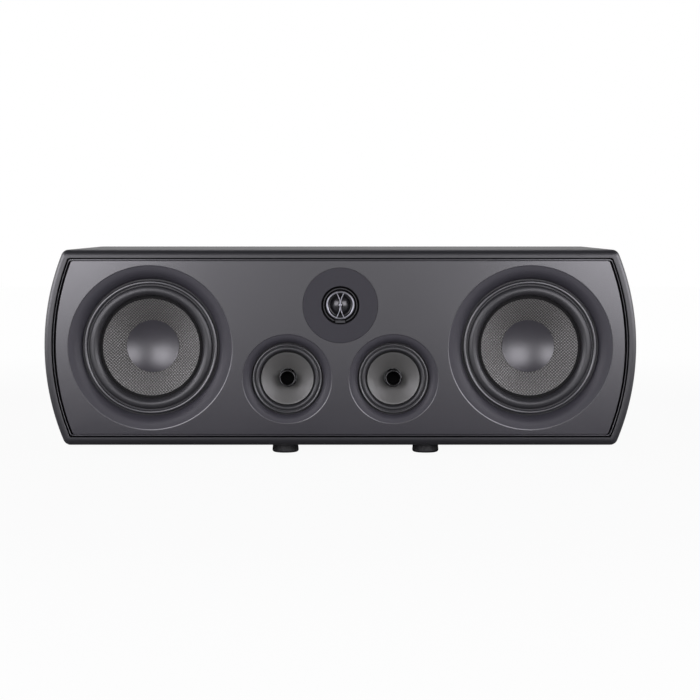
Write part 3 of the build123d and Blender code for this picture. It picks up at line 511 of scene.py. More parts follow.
mid = {
    "x": 67.3875,
    "z": -39.6,
    "dish": 57.0,
    "hole": 45.8,
    "dishBottom": 8.6,
    "pocket": 12.8,
    "pocketRadius": 53.2,
    "flange": 13.0,
    "ring": (41.6, 44.2),
    "ringCrest": 8.6,
    "ringRound": 1.5,
    "ringSeat": 42.8,
    "land": 42.6,
    "roll": (35.2, 40.6),
    "rollCrest": 10.6,
    "crestRadius": 38.0,
    "rubber": 0.8,
    "lip": 15.2,
    "lipEdge": 35.0,
    "cone": 33.0,
    "slope": math.tan(math.radians(30.0)),
    "skin": 0.81,
    "neck": 12.45,
    "coilFront": 42.0,
}
tweeter = {"z": 53.8, "plate": 47.4, "plateGap": 0.3, "hole": 23.4, "plateBack": 5.5}


def dishProfile(driver):  # from the fascia's face down to the driver's hole, and round the flange's pocket
    sink, dish, hole, steps = fascia["sink"], driver["dish"], driver["hole"], 24
    wide, deep = fascia["lipChamfer"]
    easeWide, easeDeep = fascia["lipEase"]
    start = (dish - wide, sink + deep)
    reach, bottom = start[0] - hole, driver["dishBottom"] - start[1]
    fall = math.tan(math.radians(fascia["lipAngle"]))
    lead = fall * reach / bottom  # share of the depth that a straight slope from the lip would take
    profile = [(dish + easeWide, sink), (dish, sink + easeDeep), start]
    for step in range(1, steps + 1):
        way = step / steps
        drop = lead * way + (1 - lead) * way ** fascia["dishTurn"]
        profile.append((start[0] - reach * way, start[1] + bottom * drop))
    pocket, edge = driver["pocket"], driver["pocketRadius"]
    return profile + [(hole, pocket), (edge, pocket), (edge, fascia["back"])]


def makeFascia():
    edge, sink, back, soft = fascia["edge"], fascia["sink"], fascia["back"], fascia["rimRound"]
    rim, floor = sink + fascia["rimSink"], sink + fascia["grooveDepth"]
    inner = edge + fascia["rim"]
    field = inner + fascia["groove"]
    (outerPull, innerPull), fieldPull = fascia["rimPull"], fascia["fieldPull"]
    rimEdge, fieldEdge = quarter(soft, 5), quarter(fascia["fieldRound"], 4)
    loops = [bowLoop(edge, back, outerPull)]
    loops += [bowLoop(edge + inset, rim + drop, outerPull) for inset, drop in rimEdge]
    loops += [bowLoop(inner - inset, rim + drop, innerPull) for inset, drop in rimEdge[::-1]]
    loops += [bowLoop(inner, floor, innerPull), bowLoop(field, floor, fieldPull)]
    loops += [bowLoop(field + inset, sink + drop, fieldPull) for inset, drop in fieldEdge]
    panel = loftPiece("frontFascia", loops)
    cuts = []
    for driver in (woofer, mid):
        first = turnPiece("dishCut", -driver["x"], driver["z"], dishProfile(driver), fine)
        cuts += [first, copyPiece(first, "dishCut", (2 * driver["x"], 0, 0))]
    seat = tweeter["plate"] + tweeter["plateGap"]
    cuts.append(turnPiece("plateCut", 0, tweeter["z"], [(seat, sink), (seat, back)], fine))
    joinPieces(panel, cuts, sink, back)
    smooth(panel)
    settle(panel, "cabinet", "fascia_paint", fasciaPaint, "front_fascia")
    lip, clear = fascia["lipChamfer"][0], 1.0  # faces of the gaps are clear of every driver's opening

    def fromDriver(face, driver):  # the one on the face's own side
        return fromAxis(face, math.copysign(driver["x"], face.calc_center_median().x), driver["z"])

    def inDish(face):
        near = any(d["hole"] - hair < fromDriver(face, d) < d["dish"] - lip for d in (woofer, mid))
        return near and depthOf(face) > sink + hair

    def inGap(face):  # outside the rim, and in the groove between rim and field; these are painted near-black as shade
        far = all(fromDriver(face, d) > d["dish"] + clear for d in (woofer, mid))
        far = far and fromAxis(face, 0, tweeter["z"]) > tweeter["plate"] + clear
        return far and rim + soft < depthOf(face) < back - hair

    paintFaces(panel, dishPaint, inDish)
    # painted shade in the gaps round the fascia's rim
    paintFaces(panel, shadePaint, inGap)


makeFascia()
print("front: fascia made")


def ringProfile(driver):
    (inner, outer), crest = driver["ring"], driver["ringCrest"]
    shoulder = crest + driver["ringRound"]
    land = driver["flange"] - driver["rubber"]
    start = (outer, shoulder)
    return [
        (inner, land),
        (driver["ringSeat"], land),
        (driver["ringSeat"], driver["flange"]),
        (outer, driver["flange"]),
        start,
        *bend(start, ((inner + outer) / 2, crest), (inner, shoulder), 14),
        (inner, land),
    ]


surround = {"footInset": 0.4, "coneGap": 0.2, "underDrop": 0.3}  # the same in all four drivers


def footEdge(driver):  # radius where the roll rises from its foot, the flat glued to the cone
    return driver["roll"][0] - surround["footInset"]


def inFoot(driver, x):  # tells the faces on the front of the foot, which are painted near-black as shade
    level, edge = driver["lip"] - driver["rubber"], footEdge(driver)
    return lambda face: fromAxis(face, x, driver["z"]) < edge and abs(depthOf(face) - level) < hair


def surroundProfile(driver):  # a flat foot, a steep rise to the crest and a fall to the land outside
    thin, lip, flange = driver["rubber"], driver["lip"], driver["flange"]
    land, base = flange - thin, lip - thin
    crestRadius, crest = driver["crestRadius"], driver["rollCrest"]
    inner, outer = driver["roll"]
    coneEdge, steps = driver["cone"] + surround["coneGap"], 14
    angles = [math.pi / 2 * step / steps for step in range(steps + 1)]
    inward, outward = crestRadius - footEdge(driver), outer - crestRadius
    rise = [(crestRadius - inward * math.cos(a), crest + (base - crest) * (1 - math.sin(a))) for a in angles]
    fall = [(crestRadius + outward * math.sin(a), crest + (land - crest) * (1 - math.cos(a))) for a in angles]
    turn = (outer - thin, land + surround["underDrop"])
    under = (inner + thin, lip - thin / 2)
    return [
        (coneEdge, base),
        *rise,
        *fall[1:],
        (driver["land"], land),
        (driver["land"], flange),
        (outer - thin, flange),
        turn,
        *bend(turn, ((inner + outer) / 2, crest + thin), under, 16),
        (under[0], lip),
        (coneEdge, lip),
        (coneEdge, base),
    ]


def coneProfile(driver):
    edge, lip, cone, skin = driver["lipEdge"], driver["lip"], driver["cone"], driver["skin"]
    across, steps = cone - driver["neck"], 8
    deep = across * driver["slope"]
    wall = [(cone - across * step / steps, lip + deep * step / steps) for step in range(steps + 1)]
    back = [(driver["neck"], lip + deep + skin), (cone, lip + skin), (edge, lip + skin)]
    return [(edge, lip), *wall, *back, (edge, lip)]


def crown(apex, edge, radius, steps):  # part of a ball, from the depth of its middle out to that of its edge
    rise, half = edge - apex, radius / 2
    ball = (radius**2 + rise**2) / (2 * rise)
    via = apex + ball - math.copysign(math.sqrt(ball**2 - half**2), ball)
    return [(0, apex), *bend((0, apex), (half, via), (radius, edge), steps)]


cap = {"radius": 33.4, "edge": 36.456, "sag": 8.4, "thickness": 0.8}


def capProfile():
    edge, middle, back = cap["edge"], cap["edge"] + cap["sag"], cap["thickness"]
    front = crown(middle, edge, cap["radius"], 20)
    return front + crown(middle + back, edge + back, cap["radius"], 12)[::-1]


plug = {"radius": 10.5, "rim": 2.0, "nose": 13.5, "floor": 26.5, "base": 44.09}


def plugProfile():
    hollow = plug["radius"] - plug["rim"]
    rimBack = plug["nose"] + plug["rim"] / 2
    start = (hollow, rimBack)
    return [
        (0, plug["floor"]),
        (hollow, plug["floor"]),
        start,
        *bend(start, (hollow + plug["rim"] / 2, plug["nose"]), (plug["radius"], rimBack), 10),
        (plug["radius"], plug["base"]),
        (0, plug["base"]),
    ]


def inHollow(driver, x):  # tells the faces inside a plug's nose, which are painted near-black as shade
    rimBack, rimMiddle = plug["nose"] + plug["rim"] / 2, plug["radius"] - plug["rim"] / 2
    return lambda face: depthOf(face) > rimBack and fromAxis(face, x, driver["z"]) < rimMiddle


def flexRound(piece, driver, x, body):  # the roll bends all the way round, so its weight follows the radius
    (inner, outer), depth, z = driver["roll"], driver["lip"], driver["z"]
    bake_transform(piece, "cabinet", body, start=spot(x + outer, depth, z), end=spot(x + inner, depth, z))
    hub = spot(x, depth, z)
    weights = piece.data.attributes["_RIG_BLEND"].data
    for vert in piece.data.vertices:
        radius = math.hypot(vert.co.x - hub.x, vert.co.z - hub.z) / mm
        share = min(max((outer - radius) / (outer - inner), 0.0), 1.0)
        weights[vert.index].value = share * share * (3 - 2 * share)


def makeConeDrivers(kind, driver, coneFinish):
    pieces = {
        "TrimRing": (ringProfile(driver), ringFinish, "ring_rubber", "trim_ring", 0.15),
        "Surround": (surroundProfile(driver), rubberFinish, "surround_rubber", "surround", 0.0),
        "Cone": (coneProfile(driver), coneFinish, "woven_cone", "cone", 0.0),
    }
    if kind == "Woofer":
        pieces["DustCap"] = (capProfile(), capFinish, "cap_black", "dust_cap", 0.0)
    else:
        pieces["PhasePlug"] = (plugProfile(), plugFinish, "plug_black", "phase_plug", 0.15)
    for label, (profile, finish, slot, node, soften) in pieces.items():
        first = turnPiece("left" + kind + label, -driver["x"], driver["z"], profile, fine)
        smooth(first, soften, angle=35.0)
        second = copyPiece(first, "right" + kind + label, (2 * driver["x"], 0, 0))
        for side, piece, x in (("left", first, -driver["x"]), ("right", second, driver["x"])):
            stem = side + "_" + kind.lower()
            if label == "Surround":
                flexRound(piece, driver, x, stem + "_motion")
                settle(piece, None, slot, finish, stem + "_" + node)
                # the foot is painted near-black: painted shade in the valley between cone and roll
                paintFaces(piece, footShade, inFoot(driver, x))
                continue
            body = stem + "_motion" if label in ("Cone", "DustCap") else "cabinet"
            settle(piece, body, slot, finish, stem + "_" + node)
            if label == "PhasePlug":
                # painted shade inside the plug's hollow
                paintFaces(piece, shadePaint, inHollow(driver, x))
        print(kind, label, "made")


makeConeDrivers("Woofer", woofer, wovenCone)
makeConeDrivers("Mid", mid, midCone)

faceplate = {"front": 1.5, "hole": 24.1, "chamfer": 0.5, "edgeSoften": 0.25}


def makeFaceplate():
    hole, front, cut = faceplate["hole"], faceplate["front"], faceplate["chamfer"]
    profile = [
        (hole, front + cut),
        (hole + cut, front),
        (tweeter["plate"], front),
        (tweeter["plate"], tweeter["plateBack"]),
        (hole, tweeter["plateBack"]),
        (hole, front + cut),
    ]
    plate = turnPiece("tweeterFaceplate", 0, tweeter["z"], profile, fine)
    smooth(plate, faceplate["edgeSoften"])
    settle(plate, "cabinet", "faceplate_black", faceplateFinish, "tweeter_faceplate")


makeFaceplate()

chassis = {
    "bore": 16.4,
    "floor": 7.0,
    "rib": (20.4, 21.6),
    "ribHeight": 1.2,
    "tab": (12.4, 3.1),
    "tabDrop": 20.8,
    "tabGap": 1.3,
    "boardFront": 15.5,
    "topPlate": 30.0,
    "topPlateBack": 17.7,
    "gap": 13.8,
    "landBack": 13.7,
    "landEdge": 19.8,
    "landFront": 12.9,
    "soften": 0.1,
    "ribSoften": 0.25,
}


def makeChassis():
    floor, bore, hole = chassis["floor"], chassis["bore"], tweeter["hole"]
    profile = [
        (bore, floor),
        (hole, floor),
        (hole, tweeter["plateBack"]),
        (tweeter["plate"], tweeter["plateBack"]),
        (tweeter["plate"], chassis["boardFront"]),
        (chassis["topPlate"], chassis["boardFront"]),
        (chassis["topPlate"], chassis["topPlateBack"]),
        (chassis["gap"], chassis["topPlateBack"]),
        (chassis["gap"], chassis["landBack"]),
        (chassis["landEdge"], chassis["landBack"]),
        (chassis["landEdge"], chassis["landFront"]),
        (bore, chassis["landFront"]),
        (bore, floor),
    ]
    body = turnPiece("tweeterChassis", 0, tweeter["z"], profile, 128)
    smooth(body, chassis["soften"])
    inner, outer = chassis["rib"]
    top = floor - chassis["ribHeight"]
    half = math.degrees(math.asin((chassis["tab"][0] / 2 + chassis["tabGap"]) / chassis["tabDrop"]))
    ribProfile = [(inner, floor), (inner, top), (outer, top), (outer, floor), (inner, floor)]
    rib = turnPiece("tweeterRib", 0, tweeter["z"], ribProfile, 128, 360 - 2 * half)
    bpy.ops.object.mode_set(mode="EDIT")
    bpy.ops.mesh.select_all(action="SELECT")
    bpy.ops.transform.rotate(
        value=math.radians(half - 90), orient_axis="Y", center_override=spot(0, 0, tweeter["z"])
    )
    pick(rib, lambda edge: len(edge.link_faces) == 1, "edges")
    bpy.ops.mesh.edge_face_add()
    tidyMesh()
    tabMiddle = spot(0, floor - chassis["ribHeight"] / 2, tweeter["z"] - chassis["tabDrop"])
    bpy.ops.mesh.primitive_cube_add(size=1, location=tabMiddle)
    tab = bpy.context.object
    tab.name = "tweeterTab"
    tab.scale = (chassis["tab"][0] * mm, chassis["ribHeight"] * mm, chassis["tab"][1] * mm)
    bpy.ops.object.transform_apply(location=True, rotation=False, scale=True)
    for piece in (rib, tab):
        smooth(piece, chassis["ribSoften"], 3)
        settle(piece, "cabinet", "chassis_black", mouldedFinish)
    settle(body, "cabinet", "chassis_black", chassisFinish, "tweeter_chassis")


makeChassis()

bridge = {
    "ring": (15.2, 18.2),
    "front": 4.2,
    "floor": 7.0,
    "round": 0.9,
    "wireRadius": 0.645,
    "wireDepth": 4.85,
    "waist": (0.3, 3.25),  # where the two arcs run side by side
    "knee": (0.9, 8.45),
    "splay": 5.4,
    "legInset": 0.4,
    "boss": 2.0,
    "bossFront": 3.6,
    "bossRise": 0.36,
    "bossBack": 6.6,
    "pad": 3.2,  # felt pad behind the boss
    "padFront": 5.6,
}


def makeBridge():
    inner, outer = bridge["ring"]
    shoulder = bridge["front"] + bridge["round"]
    middle = (inner + outer) / 2
    profile = [
        (inner, bridge["floor"]),
        (inner, shoulder),
        *bend((inner, shoulder), (middle, bridge["front"]), (outer, shoulder), 10),
        (outer, bridge["floor"]),
        (inner, bridge["floor"]),
    ]
    ring = turnPiece("tweeterBridge", 0, tweeter["z"], profile, 128)
    end = math.sqrt((outer - bridge["legInset"]) ** 2 - bridge["splay"] ** 2)
    upper = [(bridge["splay"], end), bridge["knee"], bridge["waist"]]
    route = upper + [(x, -z) for x, z in upper[::-1]]
    legs = []
    for side in (-1, 1):
        line = bpy.data.curves.new("legLine", "CURVE")
        line.dimensions = "3D"
        spline = line.splines.new("NURBS")
        spline.points.add(len(route) - 1)
        for place, (x, z) in zip(spline.points, route):
            place.co = (*spot(side * x, bridge["wireDepth"], tweeter["z"] + z), 1.0)
        spline.order_u = 4
        spline.use_endpoint_u = True
        spline.resolution_u = 12
        line.bevel_depth = bridge["wireRadius"] * mm
        line.bevel_resolution = 4
        line.use_fill_caps = True
        choose(addObject("leg", line))
        bpy.ops.object.convert(target="MESH")
        legs.append(bpy.context.object)
    boss, nose, rise, padFront = bridge["boss"], bridge["bossFront"], bridge["bossRise"], bridge["padFront"]
    way = 0.6  # share of the boss's radius where its low crown is measured
    bossProfile = [
        (0, nose),
        *bend((0, nose), (boss * way, nose + rise * way**2), (boss, nose + rise), 6),
        (boss, padFront),
        (bridge["pad"], padFront),
        (bridge["pad"], bridge["bossBack"]),
        (0, bridge["bossBack"]),
    ]
    legs.append(turnPiece("boss", 0, tweeter["z"], bossProfile, 48))
    joinPieces(ring, legs)
    smooth(ring, angle=40.0)
    settle(ring, "cabinet", "bridge_metal", bridgeFinish, "tweeter_bridge")

    def onPad(face):
        return depthOf(face) > padFront - hair and fromAxis(face, 0, tweeter["z"]) < bridge["pad"] + hair

    paintFaces(ring, chassisFinish, onPad)


makeBridge()

dome = {
    "radius": 13.0,
    "apex": 6.9,
    "base": 12.9,
    "roll": 15.4,
    "rollFront": 12.0,
    "land": 19.6,
    "landBack": 13.7,
}


def makeDome():
    radius, base, roll = dome["radius"], dome["base"], dome["roll"]
    profile = [
        *crown(dome["apex"], base, radius, 24),
        *bend((radius, base), ((radius + roll) / 2, dome["rollFront"]), (roll, base), 8),
        (dome["land"], base),
        (dome["land"], dome["landBack"]),
        (0, dome["landBack"]),
    ]
    film = turnPiece("tweeterDome", 0, tweeter["z"], profile, 96)
    smooth(film, angle=50.0)
    settle(film, "cabinet", "dome_film", domeFinish, "tweeter_diaphragm")


makeDome()
print("tweeter made")

foot = {"radius": 17.0, "height": 13.0, "round": 3.0, "taper": 1.0, "x": (-71.025, 109.5), "y": 115.0}


def makeFeet():
    width, height = foot["radius"] - foot["round"], 0.0
    bpy.ops.mesh.primitive_circle_add(vertices=72, radius=width * mm, fill_type="NGON")
    first = openNew("rubberFeet")
    steps = [(foot["radius"] - inset, drop) for inset, drop in quarter(foot["round"], 8)[::-1]][1:]
    steps.append((foot["radius"] - foot["taper"], foot["height"]))
    for nextWidth, nextHeight in steps:
        rise, share = (nextHeight - height) * mm, nextWidth / width
        bpy.ops.mesh.extrude_region_move(TRANSFORM_OT_translate={"value": (0, 0, rise)})
        bpy.ops.transform.resize(value=(share, share, 1), center_override=(0, 0, nextHeight * mm))
        width, height = nextWidth, nextHeight
    tidyMesh()
    (left, right), front = foot["x"], -foot["y"]
    movePiece(first, (left, front, 0))
    moves = [(right - left, 0, 0), (0, -2 * front, 0), (right - left, -2 * front, 0)]
    joinPieces(first, [copyPiece(first, "foot", move) for move in moves])
    smooth(first, angle=40.0)
    settle(first, "cabinet", "foot_rubber", footFinish, "rubber_feet")


makeFeet()
print("feet made")

back = {
    "inset": 10.9,
    "front": 300.0,
    "soften": 0.5,
    "portX": 240.4875,
    "portSeat": 46.2,  # radius of the flange's seat
    "portHole": 44.7,
    "portStep": 316.0,  # depth of the seat
    "fit": 0.2,
    "screwFit": 0.1,
}
cup = {
    "half": (36.0, 26.0),
    "corner": 7.0,
    "wall": 2.5,
    "flange": 12.0,
    "flangeCorner": 9.0,
    "flangeBack": 317.0,
    "floor": 286.0,
    "soften": 0.8,
    "floorRound": 2.0,
    "screws": (42.0, 32.0),
    "screwHead": 2.8,
    "screwShank": 1.75,
    "screwLength": 14.0,
    "screwTip": 0.4,
    "screwEdge": 0.15,
    "crossReach": 1.7,
    "crossHalf": 0.36,
    "crossDepth": 1.3,
    "crossEdge": 0.12,
    "loopPoints": 48,
}


def roundedLoop(margin, depth, corner=None):  # an outline wider by a margin than the terminal cup's recess
    corner = corner or cup["corner"] + margin
    width, height = (half + margin - corner for half in cup["half"])
    points = []
    for turn, (x, z) in enumerate(((width, height), (-width, height), (-width, -height), (width, -height))):
        points += arc(x, z, corner, math.pi / 2 * turn, math.pi / 2 * (turn + 1), 8)
    return [spot(x, depth, z) for x, z in points]


def flangeLoop(grow, depth):  # the flange's edge, grown by a little
    return roundedLoop(cup["flange"] + grow, depth, cup["flangeCorner"] + grow)


def cornerPlaces():
    wide, high = cup["screws"]
    return [(x, z) for x in (-wide, wide) for z in (-high, high)]


def cornerCopies(first):  # the first stands in the first corner
    (x, z), *others = cornerPlaces()
    return [copyPiece(first, first.name, (nextX - x, 0, nextZ - z)) for nextX, nextZ in others]


def screwCuts(depth, end):  # the countersunk holes in the corners of the cup's flange
    head, shank = cup["screwHead"] + back["screwFit"], cup["screwShank"] + back["screwFit"]
    route = [(head, depth), (shank, depth - head + shank), (shank, end)]
    first = turnPiece("screwCut", *cornerPlaces()[0], route, 32)
    return [first, *cornerCopies(first)]


def makeBackPanel():
    deep, front, inset, soft = cabinet["depth"], back["front"], back["inset"], back["soften"]
    loops = [bowLoop(inset, front), bowLoop(inset, deep - soft)]
    loops += [bowLoop(inset + ease * soft, deep - ease * soft), bowLoop(inset + soft, deep)]
    panel = loftPiece("backPanel", loops)
    seat, hole, step = back["portSeat"], back["portHole"], back["portStep"]
    route = [(seat + soft, deep), (seat, deep - soft), (seat, step), (hole, step), (hole, front)]
    portCut = turnPiece("portCut", -back["portX"], 0, route, 128)
    cuts = [portCut, copyPiece(portCut, "portCut", (2 * back["portX"], 0, 0))]
    fit, flangeBack = back["fit"], cup["flangeBack"]
    cupCut = [flangeLoop(fit + soft, deep), flangeLoop(fit, deep - soft), flangeLoop(fit, flangeBack)]
    cupCut += [roundedLoop(cup["wall"] + fit, depth) for depth in (flangeBack, front)]
    cuts.append(loftPiece("cupCut", cupCut))
    joinPieces(panel, cuts, deep, front)
    smooth(panel)
    settle(panel, "cabinet", "back_paint", backFinish, "back_panel")


makeBackPanel()


def makeCup():
    deep, soft, floor, wall = cabinet["depth"], cup["soften"], cup["floor"], cup["wall"]
    flangeBack, eased = cup["flangeBack"], ease * soft
    inner = [roundedLoop(-inset, floor + drop) for inset, drop in quarter(cup["floorRound"], 5)[::-1]]
    inner += [roundedLoop(0, deep - soft), roundedLoop(eased, deep - eased), roundedLoop(soft, deep)]
    outer = [flangeLoop(-soft, deep), flangeLoop(-eased, deep - eased)]
    outer += [flangeLoop(0, deep - soft), flangeLoop(0, flangeBack)]
    box = [roundedLoop(wall, flangeBack), roundedLoop(wall, floor - wall)]
    recess = loftPiece("terminalCup", inner)
    others = [loftPiece("cupRim", outer), loftPiece("cupBox", box), *screwCuts(deep, flangeBack)]
    joinPieces(recess, others, deep, flangeBack, floor, floor - wall)
    smooth(recess)
    settle(recess, "cabinet", "moulded_black", mouldedFinish, "terminal_cup")


makeCup()


def roundLoop(x, z, radius, depth):
    points = arc(x, z, radius, 0, math.tau, cup["loopPoints"])[:-1]
    return [spot(pointX, depth, pointZ) for pointX, pointZ in points]


def crossLoop(x, z, grow, depth):  # a cross-shaped outline with as many points as the round one
    reach, half = cup["crossReach"] + grow, cup["crossHalf"] + grow
    least = 0.05  # keeps the division clear of zero
    loop = []
    for step in range(cup["loopPoints"]):
        angle = math.tau * step / cup["loopPoints"]
        arm = (angle + math.pi / 4) % (math.pi / 2) - math.pi / 4
        radius = min(reach / math.cos(arm), half / max(abs(math.sin(arm)), least))
        loop.append(spot(x + radius * math.cos(angle), depth, z + radius * math.sin(angle)))
    return loop


def makeTerminalScrews(finish):
    deep, head, shank, edge = cabinet["depth"], cup["screwHead"], cup["screwShank"], cup["screwEdge"]
    end, floor, place = deep - cup["screwLength"], deep - cup["crossDepth"], cornerPlaces()[0]
    rounds = [(cup["screwTip"], end), (shank, end + shank), (shank, deep - head + shank)]
    rounds += [(head, deep - edge), (head - edge, deep)]
    crosses = [(cup["crossEdge"], deep), (0.0, deep - edge), (-edge, floor)]
    loops = [roundLoop(*place, *row) for row in rounds] + [crossLoop(*place, *row) for row in crosses]
    first = loftPiece("terminalScrews", loops)
    joinPieces(first, [], end, floor)
    joinPieces(first, cornerCopies(first))
    smooth(first)
    settle(first, "cabinet", "screw_steel", finish, "terminal_screws")


port = {
    "radius": 30.0,
    "wall": 2.5,
    "length": 130.0,
    "flare": 12.0,
    "flange": 46.0,
    "flangeBack": 316.0,
    "soften": 0.8,
}


def makePorts():
    deep, radius, wall, flare = cabinet["depth"], port["radius"], port["wall"], port["flare"]
    inner, flange, soft = deep - port["length"], port["flange"], port["soften"]
    turn = flare * (1 - math.cos(math.radians(45)))
    lip, edge, mouth = (radius, inner + wall / 2), (flange, deep - soft), (radius + flare, deep)
    profile = [
        lip,
        *bend(lip, (radius + wall / 2, inner), (radius + wall, inner + wall / 2), 6),
        (radius + wall, deep - flare - wall),
        (radius + flare + wall, port["flangeBack"]),
        (flange, port["flangeBack"]),
        edge,
        *bend(edge, (flange - ease * soft, deep - ease * soft), (flange - soft, deep), 4),
        mouth,
        *bend(mouth, (radius + turn, deep - turn), (radius, deep - flare), 14),
        lip,
    ]
    first = turnPiece("leftPortTube", -back["portX"], 0, profile, 128)
    smooth(first)
    second = copyPiece(first, "rightPortTube", (2 * back["portX"], 0, 0))
    settle(first, "cabinet", "moulded_black", mouldedFinish, "left_port_tube")
    settle(second, "cabinet", "moulded_black", mouldedFinish, "right_port_tube")


makePorts()

knob = {
    "x": 9.5,
    "radius": 7.2,
    "bore": 3.08,
    "start": 290.6,
    "end": 312.1,
    "round": 0.8,
    "endHole": 2.6,
    "endWall": 1.6,
    "flutes": 12,
    "fluteRadius": 1.1,
    "flutePoints": 20,
    "edge": 0.3,
    "step": 0.1,  # the grip stands in from its collar
}
redPlastic = grainFinish(  # turned and polished red plastic
    "polishedRed", "#8e1016", "#a5151b", grain=0.5, broad=6.0, rough=(0.24, 0.32), bump=0.004, IOR=1.5
)
blackPlastic = grainFinish(  # the same in black
    "turnedBlack", "#121213", "#1a1a1b", grain=0.5, broad=6.0, rough=(0.26, 0.34), bump=0.004, IOR=1.5
)


def knobLoop(inset, depth, fluted):  # an outline of the left knob
    scoop, pitch = knob["fluteRadius"], math.tau / knob["flutes"]
    hub, count = knob["radius"] + scoop / 2, knob["flutes"] * knob["flutePoints"]
    loop = []
    for step in range(count):
        angle = math.tau * step / count
        around = (angle + pitch / 2) % pitch - pitch / 2
        radius, aside = knob["radius"], hub * math.sin(around)
        if fluted and abs(aside) < scoop:
            radius = min(radius, hub * math.cos(around) - math.sqrt(scoop**2 - aside**2))
        radius -= inset
        loop.append(spot(radius * math.cos(angle) - knob["x"], depth, radius * math.sin(angle)))
    return loop


def makeKnobs():
    start, end, soft, edge = knob["start"], knob["end"], knob["round"], knob["edge"]
    bore, hole = knob["radius"] - knob["bore"], knob["radius"] - knob["endHole"]
    inner = end - knob["endWall"]
    plain = [(edge, start), (0, start + edge), (0, start + soft)]
    grip = [(knob["step"], start + soft)] + [(inset, end - drop) for inset, drop in quarter(soft, 5)]
    inside = [(hole - edge, end), (hole, end - edge), (hole, inner), (bore, inner), (bore, start)]
    loops = [knobLoop(*row, False) for row in plain] + [knobLoop(*row, True) for row in grip]
    red = loftPiece("redPostKnob", loops + [knobLoop(*row, False) for row in inside], ring=True)
    smooth(red)
    black = copyPiece(red, "blackPostKnob", (2 * knob["x"], 0, 0))
    settle(red, "red_knob", "knob_red", redPlastic, "red_post_knob")
    settle(black, "black_knob", "knob_black", blackPlastic, "black_post_knob")


makeKnobs()
print("back: panel, cup, ports and knobs made")

# the dark copper colour is painted shade between the turns; the light one is the copper's own
copper = {"dark": "#6d3016", "light": "#b8622f", "former": "#161412", "blur": 0.3}


def bandFinish(name, axis, pitch, **sockets):  # enamelled copper wire wound side by side: fine round bands, darker between the turns as painted shade
    finish, tree, shader, where = newFinish(name, sockets)
    turns = math.tau / (20 * pitch * mm)  # the wave node takes its scale in twentieths
    settings = {"wave_type": "BANDS", "bands_direction": axis, "wave_profile": "SIN"}
    inputs = {"Vector": where, "Scale": turns, "Distortion": 0.3, "Detail": 1.0}
    bands = addNode(tree, "TexWave", settings, inputs).outputs["Fac"]
    tone = addRamp(tree, bands, (0.0, copper["dark"]), (1.0, copper["light"]))
    feed(shader, {"Base Color": tone, "Normal": addBump(tree, bands, pitch / 2, 0.6)})
    return finish


screwSteel = grainFinish(  # black zinc-plated steel, lightly glossy
    "blackZinc", "#202022", "#2c2c2e", grain=0.3, broad=3.0, rough=(0.34, 0.44), bump=0.004, Metallic=0.8
)
fibreboard = grainFinish(  # raw fibreboard: brown felted fibres, quite matt
    "fibreboard", "#7c5d3c", "#957350", grain=1.2, broad=25.0, rough=(0.75, 0.9), bump=0.05
)
ferrite = grainFinish(  # ground ferrite: dark grey, faintly sparkling
    "groundFerrite", "#2a2a2b", "#3c3c3e", grain=0.3, broad=12.0, rough=(0.5, 0.65), bump=0.01
)
yokeSteel = grainFinish(  # turned mild steel with a pale zinc coat
    "zincSteel", "#a2a5a6", "#b8babb", grain=0.4, broad=15.0, rough=(0.3, 0.42), bump=0.004, Metallic=1.0
)
stainedBoard = grainFinish(  # fibreboard stained black behind the fascia: dull, felted
    "stainedBoard", "#0c0c0c", "#141413", grain=1.2, broad=25.0, rough=(0.8, 0.92), bump=0.05, IOR=1.4
)
castAlloy = grainFinish(  # die-cast alloy under black powder coat
    "powderCoat", "#19191a", "#242425", grain=0.5, broad=18.0, rough=(0.5, 0.62), bump=0.03
)
boardLaminate = grainFinish(  # glass and resin laminate, green, glassy
    "glassLaminate", "#1d4a2b", "#2a6139", grain=0.8, broad=20.0, rough=(0.3, 0.4), bump=0.006
)
filmWrap = grainFinish(  # wound film capacitors in a pale tape
    "filmWrap", "#a98c2f", "#bda045", grain=0.8, broad=8.0, rough=(0.35, 0.45), bump=0.01
)
ceramicCase = grainFinish(  # sand-filled ceramic resistor cases: chalky white
    "ceramicCase", "#c9c5ba", "#dcd8ce", grain=0.5, broad=6.0, rough=(0.7, 0.85), bump=0.03
)
foamFinish = grainFinish(  # open-cell foam: dull, with small dark cells
    "openFoam", "#2f3033", "#505156", grain=2.2, broad=40.0, rough=(0.9, 1.0), bump=0.6
)
giltBrass = grainFinish(  # gold-plated turned brass
    "giltBrass", "#c69a45", "#d9b05c", grain=0.3, broad=4.0, rough=(0.18, 0.26), bump=0.002, Metallic=1.0
)
copperWire = bandFinish("enamelledCopper", "Z", 1.0, Metallic=1.0, Roughness=0.34)
# the cloth's gap colour is painted shade between its threads, as on the cones
spiderWeave = {"thread": 1.2, "bump": 0.2, "gap": "#5c4426", "crown": "#b08a52", "IOR": 1.5}
spiderCloth = weaveFinish("resinCloth", spiderWeave)  # resin-stiffened cotton cloth


def coilFinish(name, front):  # a dark former, with the winding of copper wire behind it
    finish = bandFinish(name, "Y", 0.5, Roughness=0.36)
    tree = finish.node_tree
    shader = tree.nodes["Principled BSDF"]
    wound = shader.inputs["Base Color"].links[0].from_socket
    where = addNode(tree, "TexCoord").outputs["Object"]
    depth = addNode(tree, "SeparateXYZ", inputs={0: where}).outputs[1]
    edge = spot(0, front, 0).y
    inside = addRange(tree, depth, (edge, edge + copper["blur"] * mm))
    colours = {0: inside, 6: hexColour(copper["former"]), 7: wound}
    shade = addNode(tree, "Mix", {"data_type": "RGBA"}, colours)
    feed(shader, {"Base Color": shade.outputs[2], "Metallic": inside})
    return finish


wooferCoil = coilFinish("wooferCoil", woofer["coilFront"])
midCoil = coilFinish("midCoil", mid["coilFront"])


def dress(finish, *names):  # gives CAD nodes that stay their finish
    for name in names:
        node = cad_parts[name]
        if not node.material_slots:
            node.data.materials.append(finish)
        for place in node.material_slots:
            place.material = finish


